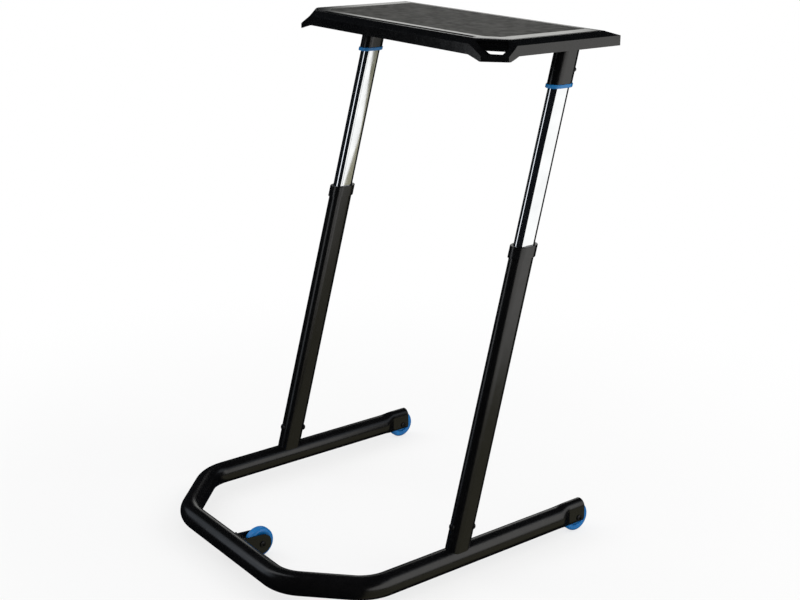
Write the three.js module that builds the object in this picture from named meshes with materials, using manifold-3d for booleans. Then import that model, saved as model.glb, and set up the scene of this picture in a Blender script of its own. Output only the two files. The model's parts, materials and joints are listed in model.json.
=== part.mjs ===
// Height-adjustable desk that stands over the front wheel of a bicycle on a trainer.
// Millimetres, +Z up, +X to the right of a person who faces the desk from its front, +Y towards the rider.
// Pieces are laid out from the axis of the front cross tube (y = 0) and from the floor (z = 0).

import * as THREE from 'three';
import { ConvexGeometry } from 'three/addons/geometries/ConvexGeometry.js';
import { mergeVertices } from 'three/addons/utils/BufferGeometryUtils.js';
import Module from 'manifold-3d';

const wasm = await Module();
wasm.setup();

// Gaps between neighbours, and how far a cutter passes what it cuts
const clearance = 0.3;
const runningGap = 0.15;
const overrun = 6;

// How finely round forms are faceted
const tubeSides = 20;
const legSides = 16;
const wheelSides = 28;
const turnedSides = 12;
const hubSides = 16;
const crownSteps = 3;
const bendSteps = 4;
const taperSteps = 3;
const filletSteps = 3;

// Overall layout
const deskHeight = 1219;
const railOffset = 347.2;
const railLength = 774;
const cornerCut = 142;

// Base tube, bent from one length of round tube
const baseTubeRadius = 26.5;
const baseTubeWall = 2;
const baseBendRadius = 100;
const baseRise = 11.37;
const flatEndLength = 46;
const flatEndTaper = 34;

// Wheels, with the bearings of a skate wheel
const wheelRadius = 36;
const wheelWidth = 24;
const wheelSideGap = 3;
const wheelHeadroom = 3.4;
const tyreThickness = 15;
const tyreShoulder = 8;
const tyreBaseInset = 2;
const hubRimInset = 3;
const hubBossWall = 3;
const hubEndPlay = 0.4;
const hubWebBore = 6.5;
const bearingBore = 8;
const bearingOuter = 22;
const bearingWidth = 7;
const bearingRecess = 0.6;
const bearingSpacer = 1.2;
const rearAxleSetback = 18;
const frontAxleDistance = 70.6;
const axleHeadRadius = 7.5;
const axleHeadHeight = 3.6;
const axleNutRadius = 7;
const axleNutHeight = 6;

// Fork that carries the front wheel behind the cross tube
const forkPlate = 3;
const forkEndRadius = 24;
const forkTopAngle = Math.PI * 0.25;
const forkLowAngle = Math.PI * 0.18;
const forkWebThickness = 3.5;

// Raked legs
const legRake = THREE.MathUtils.degToRad(14.31);
const legFootDistance = 378;
const legLength = 60;
const legWidth = 40;
const legWall = 1.5;
const legTopHeight = 752.4;
const socketWall = 3;
const socketHeight = 103;
const legBoltHeight = 70.4;
const legBoltRadius = 4;
const legBoltHeadRadius = 8;
const legBoltHeadHeight = 4.8;
const legNutHeight = 9;

// Collar at the top of each leg
const collarLip = 4;
const collarSkirt = 22.5;
const collarProud = 3;
const collarEdge = 1;
const collarLiner = 62;

// Sliding inner tubes, and the sleeves that join them to the desk
const innerLength = 51;
const innerWidth = 34;
const innerWall = 1.5;
const innerTubeHeight = 588;
const innerTopDrop = 26.4;
const sleeveHeight = 94;
const sleeveBoltHeight = 35.2;
const sleeveBoltRadius = 3;
const sleeveBoltHeadRadius = 6;
const sleeveBoltHeadHeight = 10;
const trimRingHeight = 8.2;
const trimRingProud = 2.2;
const trimRingLiner = 40;

// Lockable gas spring inside each leg
const springRadius = 13;
const springWall = 2;
const springTopRise = 8;
const springCapHeight = 12;
const springHeadHeight = 40;
const springBottomRise = 40;
const rodRadius = 5;
const rodEyeRadius = 10;
const pistonHeight = 15;
const pistonRise = 18;
const buttonRadius = 4;
const buttonRise = 7;
const buttonTravel = 3.7;
const buttonSeat = 14;

// Release lever under each side of the desk
const leverPivotGap = 14.5;
const leverPinRadius = 2.5;
const leverPinHead = 1.8;
const leverBarrel = 5;
const leverArmWidth = 8;
const leverThickness = 5;
const leverReach = 92;
const leverWidth = 22;
const leverCorner = 6;
const leverTip = 5;
const leverNotch = 8;
const earGap = 15.5;
const earThickness = 2.5;
const earLength = 20;
const earDrop = 15.4;

// Plates that carry the desk on the sleeves, and the rail between them
const plateThickness = 4;
const plateInward = 43.2;
const plateOutward = 20.8;
const plateFrontMargin = 6;
const plateCorner = 5;
const crossRailWidth = 50;
const crossRailDepth = 18;
const crossRailWall = 2;

// Desk top
const deskSideReach = 13.6;
const deskFrontReach = 233.1;
const deskRearReach = 96;
const chamferAcross = 65.4;
const chamferDeep = 47.5;
const boardThickness = 10;
const rimWidth = 6;
const rimEdge = 1;
const rimEdgeDrop = 0.8;
const bandOut = 17.6;
const rearBandOut = 30;
const bandDrop = 11.3;
const skirtDepth = 33.9;
const skirtWall = 3;
const ledgeWidth = 19;
const chamferWallDepth = 26.5;
const seamOffset = 0.5;
const grooveSideMargin = 15.4;
const grooveWidth = 13;
const matRecess = 1.5;
const matSideBorder = 43.8;
const matFrontBorder = 35.5;
const matRearBorder = 19;
const matFrontAcross = 31.4;
const matFrontDeep = 22.8;
const matCorner = 5;

// Loop grips at the two front corners of the desk
const gripWall = 3.5;
const gripSlope = THREE.MathUtils.degToRad(51.6);
const gripSlopeTurn = THREE.MathUtils.degToRad(4.6);
const gripSlopeLead = 2.3;
const gripEndTurn = THREE.MathUtils.degToRad(8.2);
const gripReach = 40.7;
const gripDepth = 44.5;
const gripRoot = 14;
const gripLip = 36;
const handHoleCorner = 4;

// Corners of the hand hole: share of the chamfer's length, share of the grip's depth
const handHoleShares = [[0.03, 0.11], [0.93, 0.08], [0.99, 0.33], [0.79, 0.67], [0.4, 0.69]];

// Derived places
const axleHeight = wheelRadius * Math.cos(Math.PI / wheelSides);
const baseAxisHeight = axleHeight + baseRise;
const rearAxle = railLength - rearAxleSetback;
const forkHalfGap = wheelWidth / 2 + wheelSideGap;
const slotHalfWidth = forkHalfGap - wheelSideGap / 2;
const axleRadius = bearingBore / 2 - runningGap;
const legHalfLength = legLength / 2;
const legHalfWidth = legWidth / 2;
const innerHalfLength = innerLength / 2;
const innerHalfWidth = innerWidth / 2;
const boreHalfLength = innerHalfLength + clearance;
const boreHalfWidth = innerHalfWidth + clearance;
const linerHalfLength = legHalfLength - legWall - clearance;
const linerHalfWidth = legHalfWidth - legWall - clearance;
const plateTop = deskHeight - boardThickness - clearance;
const plateBottom = plateTop - plateThickness;
const sleeveTop = plateBottom - clearance;
const sleeveBottom = sleeveTop - sleeveHeight;
const innerTop = sleeveTop - innerTopDrop;
const innerBottom = innerTop - innerTubeHeight;
const springTop = innerTop + springTopRise;
const springBottom = innerBottom + springBottomRise;
const buttonTop = springTop + buttonRise;
const leverLevel = buttonTop + buttonRadius * Math.sin(legRake) + clearance + leverThickness / 2;

// Directions: across the object, along a leg, and square to a leg from its front face to its rear face
const acrossAxis = new THREE.Vector3(1, 0, 0);
const legAxis = new THREE.Vector3(0, Math.sin(legRake), Math.cos(legRake));
const legFacing = new THREE.Vector3(0, Math.cos(legRake), -Math.sin(legRake));
const origin = new THREE.Vector3();

// Distance behind the front tube's axis at which a leg's centre line stands at a height
function legLine(height) {
  return legFootDistance + (height - baseAxisHeight) * Math.tan(legRake);
}

function legPoint(height) {
  return new THREE.Vector3(0, legLine(height), height);
}

const deskLine = legLine(deskHeight);
const deskFront = deskLine - deskFrontReach;
const deskRear = deskLine + deskRearReach;
const deskHalfWidth = railOffset + deskSideReach;

// Finishes
function finish(color, roughness, metalness) {
  return new THREE.MeshStandardMaterial({ color, roughness, metalness, flatShading: true });
}

const blackCoat = finish(0x17181a, 0.42, 0.1);
const chrome = finish(0xd8dade, 0.08, 1);
const blackPlastic = finish(0x1c1d1f, 0.5, 0);
const bluePlastic = finish(0x1583d0, 0.35, 0);
const blueRubber = finish(0x1a86cf, 0.45, 0);
const blackSteel = finish(0x202123, 0.38, 0.7);
const brightSteel = finish(0xb4b6ba, 0.3, 1);
const deskFinish = finish(0x1f2022, 0.4, 0);
const matFinish = finish(0x2b2a29, 0.85, 0);

// Turns a closed surface into a solid that can be joined and cut, with its faces outwards
function solidOf(surface) {
  const bare = surface.clone();
  bare.deleteAttribute('normal');
  bare.deleteAttribute('uv');
  const merged = mergeVertices(bare);
  const corners = merged.attributes.position;
  const order = merged.index.array;
  const a = new THREE.Vector3();
  const b = new THREE.Vector3();
  const c = new THREE.Vector3();
  const triangles = [];
  let volume = 0;
  for (let i = 0; i < order.length; i += 3) {
    const [p, q, r] = [order[i], order[i + 1], order[i + 2]];
    if (p !== q && q !== r && r !== p) {
      triangles.push([p, q, r]);
      a.fromBufferAttribute(corners, p);
      b.fromBufferAttribute(corners, q);
      c.fromBufferAttribute(corners, r);
      volume += a.dot(b.cross(c));
    }
  }
  const outward = volume > 0 ? triangles : triangles.map(([p, q, r]) => [p, r, q]);
  return new wasm.Manifold(new wasm.Mesh({
    numProp: 3,
    vertProperties: new Float32Array(corners.array),
    triVerts: new Uint32Array(outward.flat()),
  }));
}

// Turns a solid back into a surface for a mesh
function surfaceOf(solid) {
  const faces = solid.getMesh();
  const surface = new THREE.BufferGeometry();
  surface.setAttribute('position', new THREE.BufferAttribute(new Float32Array(faces.vertProperties), 3));
  surface.setIndex(new THREE.BufferAttribute(new Uint32Array(faces.triVerts), 1));
  surface.computeVertexNormals();
  return surface;
}

// The same solid on the other side of the object's middle plane
function mirrored(solid) {
  return solidOf(surfaceOf(solid).scale(-1, 1, 1));
}

// A closed skin through rings of equal point counts. A hollow ring's last ring joins its first
function loft(rings, hollow) {
  const count = rings[0].length;
  const triangles = [];
  const spans = hollow ? rings.length : rings.length - 1;
  for (let r = 0; r < spans; r += 1) {
    const here = r * count;
    const next = ((r + 1) % rings.length) * count;
    for (let i = 0; i < count; i += 1) {
      const j = (i + 1) % count;
      triangles.push(here + i, here + j, next + j);
      triangles.push(here + i, next + j, next + i);
    }
  }
  const last = (rings.length - 1) * count;
  for (let i = 1; !hollow && i < count - 1; i += 1) {
    triangles.push(0, i + 1, i);
    triangles.push(last, last + i, last + i + 1);
  }
  const surface = new THREE.BufferGeometry();
  surface.setAttribute('position', new THREE.Float32BufferAttribute(rings.flat(2), 3));
  surface.setIndex(triangles);
  return solidOf(surface);
}

// Points of a round or stadium section whose flats touch the true outline
function section(radius, straight, sides) {
  const reach = radius / Math.cos(Math.PI / sides);
  const points = [];
  for (let k = 0; k < sides; k += 1) {
    const angle = (k + 0.5) * 2 * Math.PI / sides;
    const rise = reach * Math.sin(angle);
    points.push([reach * Math.cos(angle), rise + Math.sign(rise) * straight]);
  }
  return points;
}

// A profile of [radius, distance along] pairs turned about an axis
function turned(profile, sides = turnedSides, axis = acrossAxis, centre = origin) {
  const points = profile.map(([radius, along]) => new THREE.Vector2(radius, along));
  const surface = new THREE.LatheGeometry(points, sides, Math.PI / sides);
  surface.applyQuaternion(new THREE.Quaternion().setFromUnitVectors(new THREE.Vector3(0, 1, 0), axis));
  surface.translate(centre.x, centre.y, centre.z);
  return solidOf(surface);
}

// A plain round bar, mostly used to cut a hole
function bar(radius, from, to, axis, centre) {
  return turned([[0, from], [radius, from], [radius, to], [0, to]], turnedSides, axis, centre);
}

// A box between two opposite corners
function block(low, high) {
  const surface = new THREE.BoxGeometry(high[0] - low[0], high[1] - low[1], high[2] - low[2]);
  surface.translate((low[0] + high[0]) / 2, (low[1] + high[1]) / 2, (low[2] + high[2]) / 2);
  return solidOf(surface);
}

// An outline with its corners rounded off
function roundedShape(points, radius) {
  const shape = new THREE.Shape();
  points.forEach(([x, y], i) => {
    const corner = new THREE.Vector2(x, y);
    const before = new THREE.Vector2(...points[(i + points.length - 1) % points.length]);
    const after = new THREE.Vector2(...points[(i + 1) % points.length]);
    const enter = corner.clone().add(before.sub(corner).setLength(radius));
    const leave = corner.clone().add(after.sub(corner).setLength(radius));
    if (i === 0) {
      shape.moveTo(enter.x, enter.y);
    } else {
      shape.lineTo(enter.x, enter.y);
    }
    shape.quadraticCurveTo(x, y, leave.x, leave.y);
  });
  shape.closePath();
  return shape;
}

// A level outline given a thickness between two heights
function slab(shape, low, high) {
  const surface = new THREE.ExtrudeGeometry(shape, {
    depth: high - low, bevelEnabled: false, curveSegments: filletSteps,
  });
  surface.translate(0, 0, low);
  return solidOf(surface);
}

// A side outline in (y, z) given a width between two places across the object
function sidePlate(shape, from, to, segments = filletSteps) {
  const surface = new THREE.ExtrudeGeometry(shape, {
    depth: to - from, bevelEnabled: false, curveSegments: segments,
  });
  const facing = new THREE.Matrix4().makeBasis(
    new THREE.Vector3(0, 1, 0), new THREE.Vector3(0, 0, 1), new THREE.Vector3(1, 0, 0),
  );
  surface.applyMatrix4(facing);
  surface.translate(from, 0, 0);
  return solidOf(surface);
}

// A plane that a convex body keeps behind: outward normal, and a point on it
function limit(normal, point) {
  return new THREE.Plane().setFromNormalAndCoplanarPoint(normal.clone().normalize(), point);
}

// The convex body behind a set of planes: its corners are where three of them meet
function convexBody(planes) {
  const tolerance = 1e-6;
  const corners = [];
  const meet = new THREE.Matrix3();
  for (let i = 0; i < planes.length; i += 1) {
    for (let j = i + 1; j < planes.length; j += 1) {
      for (let k = j + 1; k < planes.length; k += 1) {
        const [p, q, r] = [planes[i], planes[j], planes[k]];
        meet.set(...p.normal.toArray(), ...q.normal.toArray(), ...r.normal.toArray());
        if (Math.abs(meet.determinant()) > tolerance) {
          const corner = new THREE.Vector3(-p.constant, -q.constant, -r.constant);
          corner.applyMatrix3(meet.clone().invert());
          const inside = planes.every((plane) => plane.distanceToPoint(corner) < tolerance);
          const known = corners.some((other) => other.distanceTo(corner) < tolerance);
          if (inside && !known) {
            corners.push(corner);
          }
        }
      }
    }
  }
  return solidOf(new ConvexGeometry(corners));
}

// Adds a named piece to a group
function piece(parent, name, solid, material) {
  const mesh = new THREE.Mesh(surfaceOf(solid), material.clone());
  mesh.name = name;
  parent.add(mesh);
}

// The base tube's centre line from its middle to the right rail's end, as places with a heading.
// Each place also says how far the tube is flattened there, from 0 for round to 1 for flat.
function baseCourse() {
  const halfBend = Math.PI / 8;
  const tangent = baseBendRadius * Math.tan(halfBend);
  const course = [];
  const corners = [[railOffset - cornerCut, 0, 0], [railOffset, cornerCut, 2 * halfBend]];
  corners.forEach(([x, y, heading]) => {
    const startX = x - tangent * Math.cos(heading);
    const startY = y - tangent * Math.sin(heading);
    for (let step = 0; step <= bendSteps; step += 1) {
      const turn = heading + 2 * halfBend * step / bendSteps;
      course.push({
        x: startX + baseBendRadius * (Math.sin(turn) - Math.sin(heading)),
        y: startY + baseBendRadius * (Math.cos(heading) - Math.cos(turn)),
        heading: turn,
        flat: 0,
      });
    }
  });
  const flatStart = railLength - flatEndLength;
  for (let step = 0; step <= taperSteps; step += 1) {
    const share = step / taperSteps;
    const flat = share * share * (3 - 2 * share);
    course.push({ x: railOffset, y: flatStart - flatEndTaper * (1 - share), heading: Math.PI / 2, flat });
  }
  course.push({ x: railOffset, y: railLength, heading: Math.PI / 2, flat: 1 });
  return course;
}

// Half the height of the straight cheeks at a flattened end, so that the wheel clears the closed top
const cheekStraight = axleHeight + wheelRadius + wheelHeadroom - baseAxisHeight - forkHalfGap;

// One ring of the base tube's skin, at a place on its course, a wall's thickness in from the outside
function baseRing(place, inset) {
  const flatRadius = forkHalfGap + baseTubeWall;
  const radius = THREE.MathUtils.lerp(baseTubeRadius, flatRadius, place.flat) - inset;
  return section(radius, cheekStraight * place.flat, tubeSides).map(([across, rise]) => [
    place.x + across * Math.sin(place.heading),
    place.y - across * Math.cos(place.heading),
    baseAxisHeight + rise,
  ]);
}

// A straight length of the base tube's outside plus a gap, which shapes what is welded to it
function baseTubeSpace(from, to) {
  const round = section(baseTubeRadius + clearance, 0, tubeSides);
  const [start, end] = [from, to].map((place) => round.map(([across, rise]) => [
    place.x + across * Math.sin(place.heading),
    place.y - across * Math.cos(place.heading),
    baseAxisHeight + rise,
  ]));
  return loft([start, end], false);
}

// Base tube: rails open to the rider, with slotted and drilled ends that straddle the rear wheels
function baseTube() {
  const right = baseCourse();
  const left = right.map((place) => ({ ...place, x: -place.x, heading: -place.heading })).reverse();
  const course = [...left, ...right];
  const outside = course.map((place) => baseRing(place, 0));
  const inside = course.map((place) => baseRing(place, baseTubeWall)).reverse();
  let tube = loft([...outside, ...inside], true);
  const slotStart = rearAxle - wheelRadius - 2 * wheelSideGap;
  const axle = new THREE.Vector3(0, rearAxle, axleHeight);
  [-railOffset, railOffset].forEach((x) => {
    tube = tube.subtract(block(
      [x - slotHalfWidth, slotStart, -overrun],
      [x + slotHalfWidth, railLength + overrun, baseAxisHeight],
    ));
    axle.x = x;
    tube = tube.subtract(bar(axleRadius + clearance, -baseTubeRadius, baseTubeRadius, acrossAxis, axle));
  });
  return tube;
}

// Fork behind the cross tube: two plates with rounded ends, joined by a web against the tube
function frontFork() {
  const topStart = baseAxisHeight + baseTubeRadius * Math.sin(forkTopAngle);
  const lowStart = baseAxisHeight - baseTubeRadius * Math.sin(forkLowAngle);
  const side = new THREE.Shape();
  side.moveTo(0, topStart);
  side.lineTo(frontAxleDistance, axleHeight + forkEndRadius);
  side.absarc(frontAxleDistance, axleHeight, forkEndRadius, Math.PI / 2, -Math.PI * 0.6, true);
  side.lineTo(0, lowStart);
  side.closePath();
  const outer = forkHalfGap + forkPlate;
  const webFace = baseTubeRadius + clearance + forkWebThickness;
  let fork = sidePlate(side, -outer, -forkHalfGap, turnedSides);
  fork = fork.add(sidePlate(side, forkHalfGap, outer, turnedSides));
  fork = fork.add(block([-outer, 0, lowStart], [outer, webFace, topStart - forkPlate]));
  const wheelSpace = wheelRadius + wheelHeadroom;
  const axle = new THREE.Vector3(0, frontAxleDistance, axleHeight);
  fork = fork.subtract(bar(wheelSpace, -forkHalfGap, forkHalfGap, acrossAxis, axle));
  fork = fork.subtract(bar(axleRadius + clearance, -outer - overrun, outer + overrun, acrossAxis, axle));
  const start = { x: -outer - overrun, y: 0, heading: 0 };
  return fork.subtract(baseTubeSpace(start, { ...start, x: outer + overrun }));
}

// One wheel on its axle: tyre, hub, two bearings, and the bolt and nut through the cheeks.
// The bolt's head and the nut bear on cheeks of a given thickness.
function wheel(name, x, y, cheek) {
  const group = new THREE.Group();
  group.position.set(x, y, axleHeight);
  const half = wheelWidth / 2;
  const baseRadius = wheelRadius - tyreThickness;
  const shoulderRadius = wheelRadius - tyreShoulder;
  const treadHalf = half - tyreShoulder;
  const crown = [];
  for (let step = -crownSteps; step <= crownSteps; step += 1) {
    const turn = Math.PI / 2 * Math.abs(step) / crownSteps;
    const along = Math.sign(step) * (treadHalf + tyreShoulder * Math.sin(turn));
    crown.push([shoulderRadius + tyreShoulder * Math.cos(turn), along]);
  }
  const tyreBase = half - tyreBaseInset;
  piece(group, `${name}_tyre`, turned([
    [baseRadius, -tyreBase], ...crown, [baseRadius, tyreBase], [baseRadius, -tyreBase],
  ], wheelSides), blueRubber);

  const rim = (baseRadius - clearance) * Math.cos(Math.PI / wheelSides);
  const rimHalf = half - hubRimInset;
  const seat = bearingOuter / 2 + clearance;
  const boss = seat + hubBossWall;
  const hubHalf = slotHalfWidth - hubEndPlay;
  const seatStart = hubHalf - bearingWidth - bearingRecess;
  piece(group, `${name}_hub`, turned([
    [hubWebBore, -seatStart], [seat, -seatStart], [seat, -hubHalf], [boss, -hubHalf],
    [boss + hubEndPlay, -rimHalf], [rim, -rimHalf], [rim, rimHalf], [boss + hubEndPlay, rimHalf],
    [boss, hubHalf], [seat, hubHalf], [seat, seatStart], [hubWebBore, seatStart], [hubWebBore, -seatStart],
  ], hubSides), blackPlastic);

  const bore = bearingBore / 2;
  const race = bearingOuter / 2;
  const spacer = bore + bearingSpacer;
  [[-1, 'a'], [1, 'b']].forEach(([side, mark]) => {
    const near = side * (seatStart + clearance);
    const far = near + side * bearingWidth;
    const spacerEnd = side * (forkHalfGap - 2 * hubEndPlay);
    piece(group, `${name}_bearing_${mark}`, turned([
      [bore, near], [race, near], [race, far], [spacer, far], [spacer, spacerEnd],
      [bore, spacerEnd], [bore, near],
    ]), brightSteel);
  });

  const grip = forkHalfGap + cheek + clearance;
  const shankEnd = -grip - axleNutHeight + clearance;
  const crownRadius = axleHeadRadius * 0.6;
  piece(group, `${name}_axle_bolt`, turned([
    [0, shankEnd], [axleRadius, shankEnd], [axleRadius, grip], [axleHeadRadius, grip],
    [axleHeadRadius, grip + axleHeadHeight / 3], [crownRadius, grip + axleHeadHeight],
    [0, grip + axleHeadHeight],
  ]), blackSteel);
  const nutEnd = -grip - axleNutHeight;
  const nutSides = 6;
  piece(group, `${name}_axle_nut`, turned([
    [0, -grip], [axleNutRadius, -grip], [axleNutRadius, nutEnd], [0, nutEnd],
  ], nutSides).subtract(bar(axleRadius + clearance, nutEnd - overrun, overrun)), blackSteel);
  return group;
}

// The stadium section of a raked leg, where a level plane cuts it
function legRing(height, halfLength, halfWidth) {
  return section(halfWidth, halfLength - halfWidth, legSides).map(([across, along]) => [
    across, legLine(height) + along / Math.cos(legRake), height,
  ]);
}

// A hollow piece on a leg, through [height, half length, half width] stations round its wall
function legSleeve(stations) {
  return loft(stations.map(([height, length, width]) => legRing(height, length, width)), true);
}

// A plain length of leg tube, cut level at both ends
function legStock(low, high, halfLength, halfWidth, wall) {
  return legSleeve([
    [low, halfLength, halfWidth], [high, halfLength, halfWidth],
    [high, halfLength - wall, halfWidth - wall], [low, halfLength - wall, halfWidth - wall],
  ]);
}

// A profile turned about a leg's centre line, its stations given as [radius, height]
function turnedOnLeg(profile) {
  const along = profile.map(([radius, height]) => [
    radius, (height - baseAxisHeight) / Math.cos(legRake),
  ]);
  return turned(along, turnedSides, legAxis, legPoint(baseAxisHeight));
}

// The space of a bolt that passes square through a leg at a height, from one distance to another
function boltSpace(radius, height, from, to) {
  return bar(radius + clearance, from, to, legFacing, legPoint(height));
}

// The rail that a leg stands on, as the shape that its foot is cut to
function footSpace() {
  const start = { x: 0, y: legFootDistance - legLength, heading: Math.PI / 2 };
  return baseTubeSpace(start, { ...start, y: legFootDistance + legLength });
}

const legBoltLevel = baseAxisHeight + legBoltHeight;
const sleeveBoltLevel = sleeveBottom + sleeveBoltHeight;
const collarTop = legTopHeight + collarLip;

// The parts of a leg that stay with the base
function fixedLegPieces() {
  const rail = footSpace();
  const boltHole = boltSpace(legBoltRadius, legBoltLevel, -legLength, legLength);
  const socket = legStock(
    baseAxisHeight, baseAxisHeight + socketHeight, linerHalfLength, linerHalfWidth, socketWall,
  ).subtract(rail).subtract(boltHole);
  const tube = legStock(baseAxisHeight, legTopHeight, legHalfLength, legHalfWidth, legWall)
    .subtract(rail).subtract(boltHole);

  const skirtLength = legHalfLength + clearance;
  const skirtWidth = legHalfWidth + clearance;
  const proudLength = legHalfLength + collarProud;
  const proudWidth = legHalfWidth + collarProud;
  const skirtEnd = legTopHeight - collarSkirt;
  const linerEnd = legTopHeight - collarLiner;
  const seat = legTopHeight + clearance;
  const collar = legSleeve([
    [skirtEnd, proudLength, proudWidth],
    [collarTop - collarEdge, proudLength, proudWidth],
    [collarTop, proudLength - collarEdge, proudWidth - collarEdge],
    [collarTop, boreHalfLength, boreHalfWidth],
    [linerEnd, boreHalfLength, boreHalfWidth],
    [linerEnd, linerHalfLength, linerHalfWidth],
    [seat, linerHalfLength, linerHalfWidth],
    [seat, skirtLength, skirtWidth],
    [skirtEnd, skirtLength, skirtWidth],
  ]);

  const face = legHalfLength + clearance;
  const nutEnd = face + legNutHeight;
  const shankEnd = face + legNutHeight / 2;
  const head = legBoltHeadRadius;
  const bolt = turned([
    [0, -face - legBoltHeadHeight], [head * 0.6, -face - legBoltHeadHeight],
    [head, -face - legBoltHeadHeight / 3], [head, -face], [legBoltRadius, -face],
    [legBoltRadius, shankEnd], [0, shankEnd],
  ], turnedSides, legFacing, legPoint(legBoltLevel));
  const nutBore = legBoltRadius + clearance;
  const nut = turned([
    [nutBore, face], [head, face], [head, nutEnd - legBoltHeadHeight / 2], [head * 0.6, nutEnd], [0, nutEnd],
    [0, shankEnd + clearance], [nutBore, shankEnd + clearance], [nutBore, face],
  ], turnedSides, legFacing, legPoint(legBoltLevel));
  return [
    ['leg_socket', socket, blackCoat],
    ['leg_tube', tube, blackCoat],
    ['leg_collar', collar, blackPlastic],
    ['leg_bolt', bolt, blackSteel],
    ['leg_nut', nut, blackSteel],
    ['gas_rod', gasRod(), brightSteel],
  ];
}

// The gas spring's rod: an eye on the leg bolt at its foot, and a piston at its top
function gasRod() {
  const pistonRadius = springRadius - springWall - clearance;
  const pistonLow = springBottom + pistonRise;
  const pistonTop = pistonLow + pistonHeight;
  const rod = turnedOnLeg([
    [0, legBoltLevel], [rodRadius, legBoltLevel], [rodRadius, pistonLow],
    [pistonRadius, pistonLow], [pistonRadius, pistonTop], [0, pistonTop],
  ]);
  const socketRound = linerHalfWidth - socketWall;
  const socketStraight = linerHalfLength - linerHalfWidth;
  const eyeHalf = socketStraight - clearance + Math.sqrt(socketRound ** 2 - (rodEyeRadius + clearance) ** 2);
  const eye = bar(rodEyeRadius, -eyeHalf, eyeHalf, legFacing, legPoint(legBoltLevel));
  return rod.add(eye).subtract(boltSpace(legBoltRadius, legBoltLevel, -legLength, legLength));
}

// The gas spring's cylinder, with a head that the sleeve's bolt holds and a well for the valve button
function gasCylinder() {
  const boreRadius = springRadius - springWall;
  const headRadius = innerHalfWidth - innerWall - clearance;
  const headLow = sleeveBoltLevel - springHeadHeight / 2;
  const headHigh = sleeveBoltLevel + springHeadHeight / 2;
  const wellRadius = buttonRadius + clearance;
  const wellFloor = springTop - buttonSeat - buttonTravel - clearance;
  const guide = rodRadius + clearance;
  const boreTop = headLow - springWall;
  const cylinder = turnedOnLeg([
    [guide, springBottom], [springRadius, springBottom], [springRadius, headLow],
    [headRadius, headLow], [headRadius, headHigh], [springRadius, headHigh],
    [springRadius, springTop], [wellRadius, springTop], [wellRadius, wellFloor], [0, wellFloor],
    [0, boreTop], [boreRadius, boreTop], [boreRadius, springBottom + springCapHeight],
    [guide, springBottom + springCapHeight], [guide, springBottom],
  ]);
  return cylinder.subtract(boltSpace(sleeveBoltRadius, sleeveBoltLevel, springRadius / 2, legLength));
}

// The parts of a leg that rise with the desk
function risingLegPieces() {
  const rearHole = boltSpace(sleeveBoltRadius, sleeveBoltLevel, 0, legLength);
  const inner = legStock(innerBottom, innerTop, innerHalfLength, innerHalfWidth, innerWall)
    .subtract(rearHole);
  const notchHalf = leverArmWidth / 2 + 2 * clearance;
  const sleeve = legStock(sleeveBottom, sleeveTop, legHalfLength, legHalfWidth, legWall)
    .subtract(rearHole)
    .subtract(block(
      [-notchHalf, legLine(sleeveTop) - legLength, leverLevel - leverNotch],
      [notchHalf, legLine(sleeveTop), sleeveTop + overrun],
    ));

  const ringTop = sleeveBottom - clearance;
  const ringLow = ringTop - trimRingHeight;
  const ringLength = legHalfLength + trimRingProud;
  const ringWidth = legHalfWidth + trimRingProud;
  const ring = legSleeve([
    [ringLow, ringLength - collarEdge, ringWidth - collarEdge],
    [ringLow + collarEdge, ringLength, ringWidth],
    [ringTop, ringLength, ringWidth],
    [ringTop, linerHalfLength, linerHalfWidth],
    [ringTop + trimRingLiner, linerHalfLength, linerHalfWidth],
    [ringTop + trimRingLiner, boreHalfLength, boreHalfWidth],
    [ringLow, boreHalfLength, boreHalfWidth],
  ]).subtract(rearHole);

  const face = legHalfLength + clearance;
  const head = sleeveBoltHeadRadius;
  const shankStart = springRadius / 2 + clearance;
  const bolt = turned([
    [0, shankStart], [sleeveBoltRadius, shankStart], [sleeveBoltRadius, face], [head, face],
    [head, face + sleeveBoltHeadHeight * 0.7], [head * 0.6, face + sleeveBoltHeadHeight],
    [0, face + sleeveBoltHeadHeight],
  ], turnedSides, legFacing, legPoint(sleeveBoltLevel));

  const button = turnedOnLeg([
    [0, springTop - buttonSeat], [buttonRadius, springTop - buttonSeat],
    [buttonRadius, buttonTop], [0, buttonTop],
  ]);
  const pivot = leverPivot();
  const pinEnd = earGap / 2 + earThickness + clearance;
  const pin = turned([
    [0, -pinEnd - leverPinHead], [leverPinRadius * 1.5, -pinEnd - leverPinHead],
    [leverPinRadius * 1.5, -pinEnd], [leverPinRadius, -pinEnd], [leverPinRadius, pinEnd],
    [leverPinRadius * 1.5, pinEnd], [leverPinRadius * 1.5, pinEnd + leverPinHead],
    [0, pinEnd + leverPinHead],
  ], turnedSides, acrossAxis, pivot);
  return [
    ['inner_tube', inner, chrome],
    ['trim_ring', ring, bluePlastic],
    ['sleeve', sleeve, blackCoat],
    ['sleeve_bolt', bolt, blackSteel],
    ['gas_cylinder', gasCylinder(), blackSteel],
    ['valve_button', button, brightSteel],
    ['lever_pin', pin, brightSteel],
    ['release_lever', releaseLever(pivot), blackPlastic],
  ];
}

// Where a release lever turns, in front of the sleeve and level with the valve button
function leverPivot() {
  const frontFace = legLine(leverLevel) - legHalfLength / Math.cos(legRake);
  return new THREE.Vector3(0, frontFace - leverPivotGap, leverLevel);
}

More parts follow.
